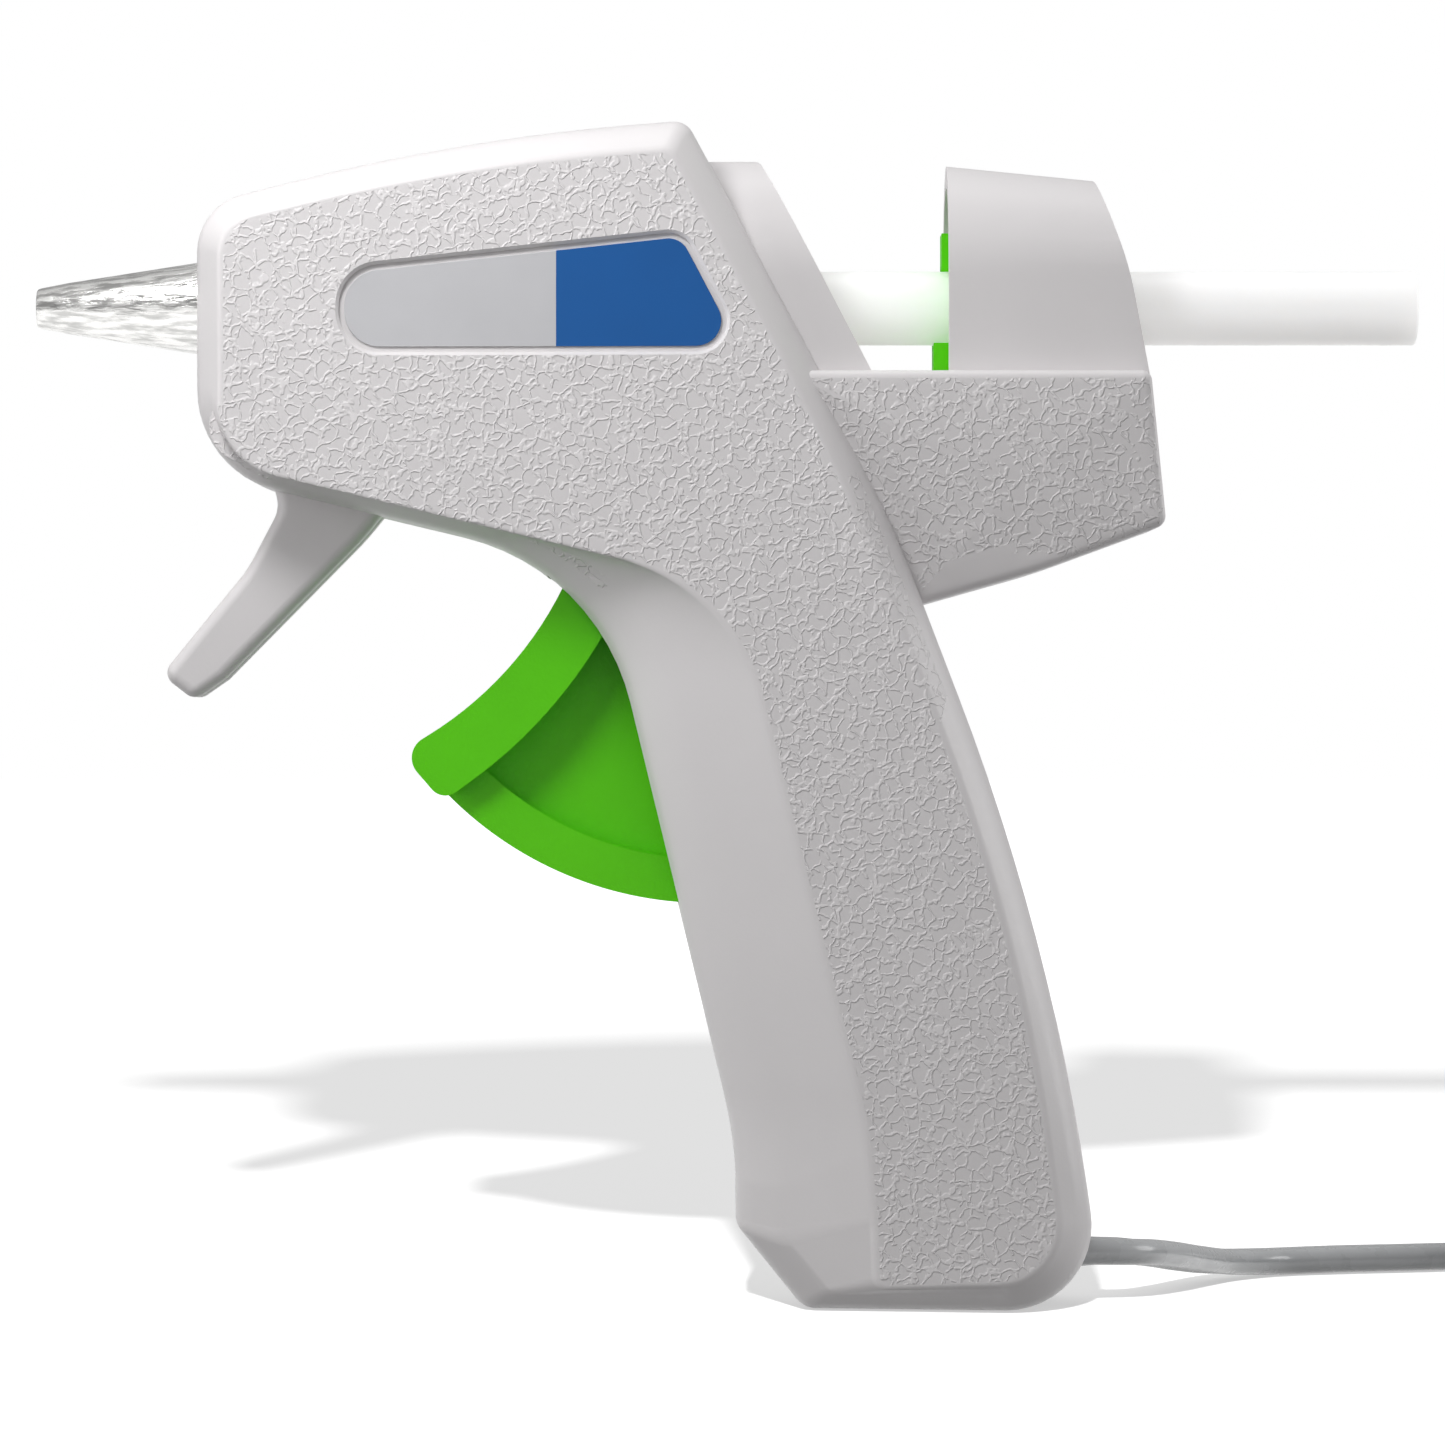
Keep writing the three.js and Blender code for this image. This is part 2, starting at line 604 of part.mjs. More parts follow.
add('sleeve_clip', turned([
  [SPIGOT_FRONT + 1.2, SLEEVE_R + 0.2],
  [SPIGOT_FRONT + 1.2, SLEEVE_R + 0.9],
  [SPIGOT_FRONT + 3.2, SLEEVE_R + 0.9],
  [SPIGOT_FRONT + 3.2, SLEEVE_R + 0.2],
]), STEEL);

// ---- Heater under the chamber: film, electrode, ceramic, electrode, film, held by a clip ----
const LAYER_GAP = 0.2;
const TAB_LENGTH = 1.7;
const HEATER_LAYERS = [
  { name: 'film_upper', thick: 0.2, half: 3.6, material: FILM },
  { name: 'electrode_upper', thick: 0.4, half: 3.2, material: BRASS, tab: [0.4, 3.2] },
  { name: 'ptc_heater', thick: 2, half: 3.4, material: CERAMIC },
  { name: 'electrode_lower', thick: 0.4, half: 3.2, material: BRASS, tab: [-3.2, -0.4] },
  { name: 'film_lower', thick: 0.2, half: 3.6, material: FILM },
];

// Stacks the layers downward from the chamber's pad and returns the height under the last one.
function heaterLayers() {
  const [front, rear] = HEATER_X;
  return HEATER_LAYERS.reduce((top, { name, thick, half, material, tab }) => {
    const sheet = box(front, rear, -half, half, top - thick, top);
    const end = rear + TAB_LENGTH;
    add(name, tab ? join(sheet, box(rear - 0.5, end, ...tab, top - thick, top)) : sheet, material);
    return top - thick - LAYER_GAP;
  }, PAD_Z - LAYER_GAP);
}

const CLIP_FLOOR = heaterLayers();
const CLIP_T = 0.6;
const CLIP_X = (HEATER_X[0] + HEATER_X[1]) / 2;
const CLIP_HALF = CHAMBER_R + 0.4;
const CLIP_TOP = AXIS_Z + CHAMBER_R + 0.3;

function clipRing(grow) {
  return rounded([
    [-CLIP_HALF - grow, CLIP_TOP + grow, 2],
    [CLIP_HALF + grow, CLIP_TOP + grow, 2],
    [CLIP_HALF + grow, CLIP_FLOOR - grow, 1],
    [-CLIP_HALF - grow, CLIP_FLOOR - grow, 1],
  ], 3);
}

add('heater_clip', cut(
  crossSlab(clipRing(CLIP_T), CLIP_X - 4, CLIP_X + 4),
  crossSlab(clipRing(0), CLIP_X - 6, CLIP_X + 6),
), STEEL);

// ---- Trigger ------------------------------------------------------------------------------
// Angles are measured at the pivot from straight down, positive toward the nozzle.
const DEG = Math.PI / 180;
const FAN_FRONT = 78;
const FAN_REAR = -3;
const LIP_FRONT = [PIVOT[0] - 51.1, PIVOT[1] + 15.5, 42.9];   // finger face: centre (X, Z), radius
const LIP_BACK = [PIVOT[0] - 57.3, PIVOT[1] + 19.4, 54.1];    // back of the lip

function polar(radius, degrees) {
  const angle = degrees * DEG;
  return new THREE.Vector2(PIVOT[0] - radius * Math.sin(angle), PIVOT[1] - radius * Math.cos(angle));
}

function fan(outer, inner, from, to) {
  const stops = [...Array(13).keys()].map((k) => from + ((to - from) * k) / 12);
  const far = stops.map((a) => polar(outer, a));
  const near = inner ? stops.reverse().map((a) => polar(inner, a)) : [polar(0, 0)];
  return [...far, ...near];
}

function disc([x, z, radius], halfWidth, sides = 96) {
  return pinY([x, z], radius, -halfWidth, halfWidth, sides);
}

function fingerLip() {
  const band = cut(disc(LIP_BACK, LIP_HALF), disc(LIP_FRONT, LIP_HALF + 1));
  const rim = [45, 55, 65, 75, 88].map((a) => polar(80, a));
  const sector = plate([polar(0, 0), ...rim], -LIP_HALF, LIP_HALF);
  const reach = disc([...PIVOT, TRIGGER_R + 0.4], LIP_HALF + 1);
  return band.intersect(sector).intersect(reach);
}

function trigger() {
  const cleared = disc([LIP_FRONT[0], LIP_FRONT[1], LIP_FRONT[2] + 1], 20);
  const lip = fingerLip();
  const web = cut(plate(fan(TRIGGER_R - 0.5, 0, FAN_FRONT, FAN_REAR), -WEB_HALF, WEB_HALF), cleared);
  const flange = cut(
    plate(fan(TRIGGER_R, TRIGGER_R - FLANGE_T, 56, FAN_REAR), -FLANGE_HALF, FLANGE_HALF),
    cleared,
  );
  const arm = plate(rounded([
    [PIVOT[0] - 3, PIVOT[1], 0.3],
    [LINK_PIN[0] - 2.2, LINK_PIN[1] + 2.1, 2],
    [LINK_PIN[0] + 2.2, LINK_PIN[1] + 2.1, 2],
    [PIVOT[0] + 3.4, PIVOT[1], 0.3],
  ]), -WEB_HALF, WEB_HALF);
  const tail = plate(rounded([
    [PIVOT[0], PIVOT[1] + 2.6, 0.3],
    [SPRING_X + 1.6, PIVOT[1] + 2.2, 1.2],
    [SPRING_X + 1.6, PIVOT[1] - 1, 1],
    [PIVOT[0], PIVOT[1] - 2.6, 0.3],
  ]), -0.8, 0.8);
  const hub = pinY(PIVOT, AXLE_R + 2.2, -FLANGE_HALF, FLANGE_HALF);
  const axle = pinY(PIVOT, AXLE_R, -AXLE_HALF, AXLE_HALF);
  const pinHole = pinY(LINK_PIN, PIN_R + 0.05, -3, 3);
  const springHole = pinY([SPRING_X, PIVOT[1] + 0.5], SPRING_WIRE_R + GAP + 0.3, -3, 3, 12);
  return cut(join(web, flange, lip, arm, tail, hub, axle), pinHole, springHole);
}

add('trigger', trigger(), GREEN_PLASTIC);

// ---- Return spring between a post in the left shell and the trigger's tail ------------------
function returnSpring() {
  const hook = SPRING_WIRE_R + GAP + 1.3;
  const [postX, postZ] = SPRING_POST;
  const low = [-50, 0, 45, 90].map((a) => [
    postX + hook * Math.cos(a * DEG), 0, postZ + hook * Math.sin(a * DEG),
  ]);
  const eye = 1.7;
  const eyeZ = PIVOT[1] + 0.5 - eye;
  const from = postZ + hook + 1;
  const to = eyeZ - eye - 1;
  const count = SPRING_TURNS * 12;
  const coil = [...Array(count + 1).keys()].map((k) => {
    const angle = (2 * Math.PI * SPRING_TURNS * k) / count;
    return [
      SPRING_X + SPRING_R * Math.sin(angle),
      SPRING_R * Math.cos(angle),
      from + ((to - from) * k) / count,
    ];
  });
  const high = [-60, 0, 60, 120, 180].map((a) => [
    SPRING_X, eye * Math.cos(a * DEG), eyeZ + eye * Math.sin(a * DEG),
  ]);
  return wire([...low, ...coil, ...high], SPRING_WIRE_R, count + 30, 5);
}

add('return_spring', returnSpring(), STEEL);

// ---- Feed linkage: links from the trigger arm to the grip jaw on the feed carriage -----------
function feedLink() {
  const bar = plate(rounded([
    [LINK_PIN[0] - LINK_H / 2, LINK_PIN[1] + LINK_H / 2, LINK_H / 2 - 0.02],
    [REAR_PIN[0] + LINK_H / 2, REAR_PIN[1] + LINK_H / 2, LINK_H / 2 - 0.02],
    [REAR_PIN[0] + LINK_H / 2, REAR_PIN[1] - LINK_H / 2, LINK_H / 2 - 0.02],
    [LINK_PIN[0] - LINK_H / 2, LINK_PIN[1] - LINK_H / 2, LINK_H / 2 - 0.02],
  ]), LINK_Y, LINK_Y + LINK_T);
  return cut(bar, pinY(LINK_PIN, PIN_R + 0.2, 0, 9), pinY(REAR_PIN, PIN_R + OPEN_PIVOT_FIT - 0.05, 0, 9));
}

add('feed_link_right', feedLink(), GREEN_PLASTIC);
add('feed_link_left', mirrorY(feedLink()), GREEN_PLASTIC);

const PIN_END = LINK_Y + LINK_T + 0.6;
add('link_pin', pinY(LINK_PIN, PIN_R, -PIN_END, PIN_END), STEEL);
add('rear_link_pin', pinY(REAR_PIN, PIN_R, -PIN_END, PIN_END), STEEL);

const CARRIAGE_X = [21.8, 34.6];

function feedCarriage() {
  const low = FLOOR_Z + 0.4;
  const [front, rear] = CARRIAGE_X;
  const outerR = HOLE_R + 1.3;
  const head = crossSlab(rounded([
    [-6.4, AXIS_Z + 7.6, 3],
    [6.4, AXIS_Z + 7.6, 3],
    [6.4, low, 0.8],
    [-6.4, low, 0.8],
  ]), front, front + 2.6);
  const lowerTab = box(front - 1.6, front + 0.5, -2.5, 2.5, low, AXIS_Z - STICK_R + 0.4);
  const upperTab = box(front - 0.8, front + 0.5, -2.5, 2.5, AXIS_Z + STICK_R - 0.3, AXIS_Z + STICK_R + 3.6);
  const cheek = plate(rounded([
    [JAW_PIVOT[0] - 2.7, AXIS_Z - STICK_R, 0.3],
    [JAW_PIVOT[0] + 2.7, AXIS_Z - STICK_R, 0.3],
    [JAW_PIVOT[0] + 1.7, JAW_PIVOT[1] - 1.7, 1.4],
    [JAW_PIVOT[0] - 1.7, JAW_PIVOT[1] - 1.7, 1.4],
  ]), LINK_Y, LINK_Y + CHEEK_T);
  const jawSlot = box(JAW_PIVOT[0] - 4.5, JAW_PIVOT[0] + 2.4, -LINK_Y, LINK_Y, low - 3, AXIS_Z);
  const ring = join(rodX(outerR, front + 1, rear), head, lowerTab, upperTab, cheek, mirrorY(cheek));
  return cut(
    ring,
    rodX(HOLE_R, front - 4, rear + 1),
    jawSlot,
    pinY(JAW_PIVOT, PIN_R + 0.05, -9, 9),
  );
}

add('feed_carriage', feedCarriage(), GREEN_PLASTIC);

function gripJaw() {
  const body = plate(rounded([
    [JAW_PIVOT[0] - 3, AXIS_Z - STICK_R - 0.7, 0.3],
    [JAW_PIVOT[0] + 1.7, JAW_PIVOT[1] + 1.2, 1],
    [REAR_PIN[0] + 1.8, REAR_PIN[1] - 1.8, 1.5],
    [REAR_PIN[0] - 1.8, REAR_PIN[1] - 1.8, 1.5],
    [JAW_PIVOT[0] - 2.1, JAW_PIVOT[1] - 0.6, 2],
  ]), -WEB_HALF, WEB_HALF);
  return cut(body, pinY(JAW_PIVOT, PIN_R + 0.2, -3, 3), pinY(REAR_PIN, PIN_R + 0.05, -3, 3));
}

add('grip_jaw', gripJaw(), STEEL);
add('jaw_pin', pinY(JAW_PIVOT, PIN_R, -LINK_Y - CHEEK_T, LINK_Y + CHEEK_T), STEEL);

// ---- Glue stick ---------------------------------------------------------------------------
const STICK_REAR = STICK_FRONT + STICK_LENGTH;
add('glue_stick', turned([
  [STICK_FRONT, 0],
  [STICK_FRONT, STICK_R - 0.2],
  [STICK_FRONT + 0.2, STICK_R],
  [STICK_REAR - 0.2, STICK_R],
  [STICK_REAR, STICK_R - 0.2],
  [STICK_REAR, 0],
], 32), GLUE);

// ---- Shell screws, driven from the right side -----------------------------------------------
SCREW_PLACES.forEach((place, i) => {
  const head = pinY(place, SCREW_HEAD_R, SCREW_SEAT_Y + 0.1, SCREW_SEAT_Y + 2, 16);
  const shank = pinY(place, SCREW_R, SCREW_END - BODY_HALF, SCREW_SEAT_Y + 1, 12);
  const recess = [[DRIVE / 2, DRIVE_T / 2], [DRIVE_T / 2, DRIVE / 2]].map(([wide, tall]) => box(
    place[0] - wide, place[0] + wide, SCREW_SEAT_Y + 1, SCREW_SEAT_Y + 3,
    place[1] - tall, place[1] + tall,
  ));
  add(`shell_screw_${i + 1}`, cut(join(head, shank), ...recess), STEEL);
});

// ---- Mains leads inside the handle ----------------------------------------------------------
const LEAD_R = 0.8;
const LEAD_Y = BODY_HALF - 5;
const CRIMP_X = HEATER_X[1] + TAB_LENGTH + GAP;
const CRIMP_LENGTH = 3;
const CRIMP_Y = 1.9;
const UPPER_TAB_Z = PAD_Z - 2 * LAYER_GAP - 0.4;
const LOWER_TAB_Z = UPPER_TAB_Z - 2.4 - 2 * LAYER_GAP;

function lead(tabZ) {
  const from = CRIMP_X + CRIMP_LENGTH + GAP;
  return wire([
    [CORD_END_X - GAP, CORD_W / 4, CLAMP_Z],
    [21.3, 1.3, CLAMP_Z + 0.1],
    [19.9, 2.6, CLAMP_Z + 3.4],
    [19.5, 5.5, CLAMP_Z + 12],
    [16.5, LEAD_Y, PIVOT[1] - 44],
    [13.2, LEAD_Y, PIVOT[1] - 24],
    [12.6, LEAD_Y, PIVOT[1] - 8],
    [6, LEAD_Y, PIVOT[1] + 5.6],
    [-6, LEAD_Y, AXIS_Z - 13.7],
    [-14.5, 4, AXIS_Z - 11.2],
    [from + 0.8, CRIMP_Y, tabZ - 0.1],
    [from, CRIMP_Y, tabZ],
  ], LEAD_R, 34, 6);
}

function crimp(tabZ) {
  const geometry = new THREE.CylinderGeometry(1, 1, CRIMP_LENGTH, 12);
  geometry.rotateZ(-Math.PI / 2);
  geometry.translate(CRIMP_X + CRIMP_LENGTH / 2, CRIMP_Y, tabZ);
  return toSolid(geometry);
}

add('lead_live', lead(UPPER_TAB_Z), LEAD_BLACK);
add('lead_neutral', mirrorY(lead(LOWER_TAB_Z)), LEAD_RED);
add('crimp_live', crimp(UPPER_TAB_Z), BRASS);
add('crimp_neutral', mirrorY(crimp(LOWER_TAB_Z)), BRASS);

// ---- Cord clamp: a bar across the lead, screwed to two bosses of the left shell ---------------
const CLAMP_HALF = 6.4;
const CLAMP_FLOOR = CORD_W / 2 + GAP;

const clampBar = plate(rounded([
  [CLAMP_X - 2, CLAMP_Z + CLAMP_HALF, 1],
  [CLAMP_X + 2, CLAMP_Z + CLAMP_HALF, 1],
  [CLAMP_X + 2, CLAMP_Z - CLAMP_HALF, 1],
  [CLAMP_X - 2, CLAMP_Z - CLAMP_HALF, 1],
], 2), CLAMP_FLOOR, CLAMP_FLOOR + 2);
const clampHoles = CLAMP_SCREWS.map((place) => pinY(place, CLAMP_SCREW_R + GAP, 0, 9, 12));
add('cord_clamp', cut(clampBar, ...clampHoles), WHITE_PLASTIC);

CLAMP_SCREWS.forEach((place, i) => {
  const head = pinY(place, 1.9, CLAMP_FLOOR + 2.1, CLAMP_FLOOR + 3.5, 12);
  add(`clamp_screw_${i + 1}`, join(head, pinY(place, CLAMP_SCREW_R, -5, CLAMP_FLOOR + 3, 10)), STEEL);
});

// ---- Mains cord, coil, tie and plug ---------------------------------------------------------
const CORD_FLOOR = CORD_T / 2 + 0.05;
const COIL_OUTER = COIL_R + COIL_HALF;
const COIL_TURN_R = COIL_OUTER - CORD_W / 2;      // outermost turn, which both free ends leave
const COIL_BASE = TIE_T + 0.2;

// How far along its tangent a cord from the outermost turn clears the coil.
const COIL_CLEAR = Math.sqrt(COIL_OUTER ** 2 - (COIL_TURN_R - CORD_W / 2) ** 2) + GAP;

// The point where the incoming lead reaches the coil, along the tangent at its entry angle.
function coilEntry() {
  const [sin, cos] = [Math.sin(COIL_ENTRY * DEG), Math.cos(COIL_ENTRY * DEG)];
  return [
    COIL_CENTRE[0] + COIL_TURN_R * cos - COIL_CLEAR * sin,
    COIL_CENTRE[1] + COIL_TURN_R * sin + COIL_CLEAR * cos,
    CORD_FLOOR,
  ];
}

add('power_cord', flatCord([
  [CORD_END_X, 0, CLAMP_Z],
  [CLAMP_X + 2.5, 0, CLAMP_Z],
  [31, 0, CORD_EXIT[1] + 3],
  [CORD_EXIT[0] - 2.8, 0, CORD_EXIT[1] + 0.1],
  [CORD_EXIT[0], 0, CORD_EXIT[1]],
  [39.5, 1.8, 5],
  [43, 8.5, 4.2],
  [46.5, 18, 3],
  [50.5, 27.5, 1.9],
  [56, 34.5, CORD_FLOOR],
  [63, 37.6, CORD_FLOOR],
  [72, 40.2, CORD_FLOOR],
  coilEntry(),
], 32), LEAD_GREY);

function coilRing() {
  const profile = [
    [COIL_R - COIL_HALF, COIL_BASE + 1.5],
    [COIL_R - COIL_HALF + 1.5, COIL_BASE],
    [COIL_OUTER - 1.5, COIL_BASE],
    [COIL_OUTER, COIL_BASE + 1.5],
    [COIL_OUTER, COIL_BASE + COIL_H - 1.5],
    [COIL_OUTER - 1.5, COIL_BASE + COIL_H],
    [COIL_R - COIL_HALF + 1.5, COIL_BASE + COIL_H],
    [COIL_R - COIL_HALF, COIL_BASE + COIL_H - 1.5],
    [COIL_R - COIL_HALF, COIL_BASE + 1.5],
  ];
  const geometry = new THREE.LatheGeometry(profile.map((p) => new THREE.Vector2(...p)), 40);
  geometry.rotateX(Math.PI / 2);
  geometry.translate(...COIL_CENTRE, 0);
  return toSolid(geometry);
}

add('cord_coil', coilRing(), LEAD_GREY);

// A flat band round the coil's section, on the side away from the handle.
function coilTie() {
  const loopHalf = COIL_HALF + 0.4;
  const top = COIL_BASE + COIL_H + 0.2;
  const x = COIL_CENTRE[0] + COIL_R;
  const y = COIL_CENTRE[1];
  const band = box(x - loopHalf - TIE_T, x + loopHalf + TIE_T, y - 3, y + 3, 0, top + TIE_T);
  return cut(band, box(x - loopHalf, x + loopHalf, y - 4, y + 4, TIE_T, top));
}

add('cord_tie', coilTie(), PAPER);

// The tail leaves the top outer turn on the handle's side, passes over the lead and turns to the
// plug, which lies beside the coil and points away from the handle.
const TAIL_X = COIL_CENTRE[0] - COIL_TURN_R;
const PLUG_Y = COIL_CENTRE[1] + COIL_OUTER + PLUG[0] / 2 + 2.8;
const PLUG_REAR = 106;
const PLUG_Z = PLUG[2] / 2;

add('cord_tail', flatCord([
  [TAIL_X, COIL_CENTRE[1] + COIL_CLEAR, 8.2],
  [TAIL_X + 1.2, PLUG_Y - 20, 7.4],
  [TAIL_X + 6.5, PLUG_Y - 8.6, 6.5],
  [TAIL_X + 15.5, PLUG_Y - 1.6, PLUG_Z],
  [PLUG_REAR - 3, PLUG_Y, PLUG_Z],
  [PLUG_REAR - GAP, PLUG_Y, PLUG_Z],
], 12), LEAD_GREY);

function plugBody() {
  const [width, length, height] = PLUG;
  const half = (width / 2) - 0.8;
  const tall = (height / 2) - 0.8;
  const section = rounded([[-half, tall, 2], [half, tall, 2], [half, -tall, 2], [-half, -tall, 2]], 3);
  const geometry = new THREE.ExtrudeGeometry(new THREE.Shape(section), {
    depth: length - 1.6, bevelThickness: 0.8, bevelSize: 0.8, bevelSegments: 2,
  });
  geometry.rotateX(Math.PI / 2);
  geometry.rotateZ(Math.PI / 2);
  geometry.translate(PLUG_REAR + 0.8, PLUG_Y, PLUG_Z);
  return toSolid(geometry);
}

add('plug_body', plugBody(), LEAD_GREY);

[-1, 1].forEach((side) => {
  const [thick, length, height] = BLADE;
  const y = PLUG_Y + side * BLADE_PITCH / 2;
  const from = PLUG_REAR + PLUG[1] + GAP;
  const blade = box(from, from + length, y - thick / 2, y + thick / 2,
    PLUG_Z - height / 2, PLUG_Z + height / 2);
  const hole = pinY([from + length - 4, PLUG_Z], 1.5, y - thick, y + thick, 12);
  add(side < 0 ? 'plug_blade_left' : 'plug_blade_right', cut(blade, hole), BRASS);
});

export default group;
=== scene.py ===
"""Mini hot-glue gun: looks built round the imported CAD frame, laid out as a Blender add-on."""

import json
import math

import bpy
import numpy as np
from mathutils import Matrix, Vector


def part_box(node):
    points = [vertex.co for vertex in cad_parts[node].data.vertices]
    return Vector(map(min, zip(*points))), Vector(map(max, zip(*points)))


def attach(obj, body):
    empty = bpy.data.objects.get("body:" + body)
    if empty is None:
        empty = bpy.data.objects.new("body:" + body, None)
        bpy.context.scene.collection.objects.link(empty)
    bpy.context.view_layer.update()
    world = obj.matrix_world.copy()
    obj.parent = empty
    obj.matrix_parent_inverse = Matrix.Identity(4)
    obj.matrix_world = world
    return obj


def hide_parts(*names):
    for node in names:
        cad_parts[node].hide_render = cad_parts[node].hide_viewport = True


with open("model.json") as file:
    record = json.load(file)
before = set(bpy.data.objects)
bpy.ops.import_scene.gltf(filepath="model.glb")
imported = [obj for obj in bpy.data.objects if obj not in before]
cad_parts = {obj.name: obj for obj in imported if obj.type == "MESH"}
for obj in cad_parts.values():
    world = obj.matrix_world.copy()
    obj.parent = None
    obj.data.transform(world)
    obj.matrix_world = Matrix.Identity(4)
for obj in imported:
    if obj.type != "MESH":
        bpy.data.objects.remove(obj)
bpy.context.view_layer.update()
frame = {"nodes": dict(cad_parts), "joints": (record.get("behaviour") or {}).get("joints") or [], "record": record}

bl_info = {
    "name": "Mini glue gun",
    "version": (1, 0, 0),
    "blender": (4, 5, 0),
    "location": "3D View > Sidebar > Glue gun",
    "description": "Builds the visible pieces of a corded mini glue gun on its CAD frame",
    "category": "Object",
}

MM = 0.001


def node_box(name):
    """Lowest and highest corner of a CAD node, in millimetres."""
    return [np.array(corner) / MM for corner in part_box(name)]


STICK_BOX = node_box("glue_stick")
AXIS_Z = float(STICK_BOX[0][2] + STICK_BOX[1][2]) / 2
STICK_R = float(STICK_BOX[1][1])
NOZZLE_BOX = node_box("nozzle")
BODY_HALF = float(node_box("right_shell")[1][1])
PARTING = float(node_box("right_shell")[0][1])
PIVOT = np.array([joint["pos_m"] for joint in frame["joints"] if joint["name"] == "trigger_squeeze"][0]) / MM
LINK_PIN = np.array([joint["pos_m"] for joint in frame["joints"] if joint["name"] == "link_swing"][0]) / MM
FLOOR_Z = AXIS_Z - STICK_R - 3
WALL = 2.0
REAR_LOW_HALF = 11.5
REAR_TOP_HALF = 9.0
ARCH_SPRING = AXIS_Z + 2.7
LEG_HALF = 4.3
SLOT_HALF = 6.3
SCREW_SEAT_Y = BODY_HALF - 7
TRIGGER_R = 35.0


# ---- Settings a user would change ----
class GlueGunSettings(bpy.types.PropertyGroup):
    """Sizes and colours of the visible pieces."""

    edge: bpy.props.FloatProperty(
        name="Rim rounding", description="How far the rim of the shell is rounded",
        default=0.0012, unit="LENGTH")
    pocket: bpy.props.FloatProperty(
        name="Label recess", description="Depth of the recess that holds the side label",
        default=0.0006, unit="LENGTH")
    grain: bpy.props.FloatProperty(
        name="Leather grain", description="Distance between the creases of the moulded grain",
        default=0.0013, unit="LENGTH")
    shell_colour: bpy.props.FloatVectorProperty(
        name="Shell", description="Colour of the two shells",
        default=(0.72, 0.698, 0.704, 1), size=4, subtype="COLOR")
    trigger_colour: bpy.props.FloatVectorProperty(
        name="Trigger", description="Colour of the trigger and the feed parts",
        default=(0.11, 0.66, 0.0, 1), size=4, subtype="COLOR")
    label_colour: bpy.props.FloatVectorProperty(
        name="Label", description="Colour of the label's rear field",
        default=(0.002, 0.095, 0.34, 1), size=4, subtype="COLOR")
    label_ground: bpy.props.FloatVectorProperty(
        name="Label ground", description="Colour of the label's front field",
        default=(0.56, 0.56, 0.58, 1), size=4, subtype="COLOR")
    cord_length: bpy.props.FloatProperty(
        name="Cord length", description="Length of the mains lead from clamp to plug",
        default=1.43, unit="LENGTH")
    cord_width: bpy.props.FloatProperty(
        name="Cord width", description="Width of the flat twin lead",
        default=0.005, unit="LENGTH")
    cord_thickness: bpy.props.FloatProperty(
        name="Cord thickness", description="Thickness of the flat twin lead",
        default=0.0026, unit="LENGTH")
    camera_distance: bpy.props.FloatProperty(
        name="Camera distance", description="From the camera to the parting plane",
        default=0.65, unit="LENGTH")
    camera_height: bpy.props.FloatProperty(
        name="Camera height", description="Height of the camera over the bench",
        default=0.05695, unit="LENGTH")
    view_width: bpy.props.FloatProperty(
        name="View width", description="Width that the camera sees at the parting plane",
        default=0.1416, unit="LENGTH")


def settings():
    """The settings of the scene."""
    return bpy.context.scene.glue_gun


# ---- Outlines, clockwise in the X-Z plane, each corner as (x, z, radius) ----
def on_axis(corners):
    """Corners whose heights are given from the stick axis, moved to their place."""
    return np.array(corners, float) + (0, AXIS_Z, 0)


NOSE_X = -51.3
BODY = on_axis([
    (NOSE_X, 9.5, 5.8), (-24.1, 16.2, 205), (-3.9, 17.7, 2), (13.1, -13.6, 235),
    (31.3, 36.4 - AXIS_Z, 225), (36.7, -AXIS_Z, 8.3), (7.5, -AXIS_Z, 2.2), (0.9, 8.2 - AXIS_Z, 2.2),
    (0.8, 16.4 - AXIS_Z, 37), (-12.6, -25.5, 22.3), (NOSE_X, -16.2, 9.9),
])
STRIP = on_axis([
    (NOSE_X + 1.1, 8.6, 5), (-24.1, 15.1, 205), (-4.6, 16.5, 1.6), (11.9, -13.9, 235),
    (30.2, 36.4 - AXIS_Z, 225), (35.5, 1.1 - AXIS_Z, 7.4), (9.6, 1.6 - AXIS_Z, 2), (4.9, 7 - AXIS_Z, 3),
    (4.9, 16.4 - AXIS_Z, 37), (-9.2, -25.2, 19), (NOSE_X + 1.1, -14.6, 9),
])
PANEL = on_axis([
    (NOSE_X + 2.5, 7.6, 4), (-24.3, 13.4, 200), (-5.3, 14.7, 1.5), (10.6, -14.5, 235),
    (28.4, 36.3 - AXIS_Z, 190), (32.9, 3 - AXIS_Z, 6), (14.3, 2.4 - AXIS_Z, 1.4),
    (14.1, 9.2 - AXIS_Z, 20), (13.3, 18 - AXIS_Z, 37), (0.5, -27.5, 17.6), (NOSE_X + 2.5, -15.7, 7),
])
# Half width at which the rim and then the strip edge lie, at each corner of the body.
RIM_Y = np.array([9, 9.4, 9.4, 9.4, 9.4, 9, 6.4, 6.6, 7.2, 7.4, 8.6])
STRIP_Y = np.array([11, 11.4, 11.4, 11.4, 11.4, 11, 9, 9.1, 9.4, 9.6, 10.6])

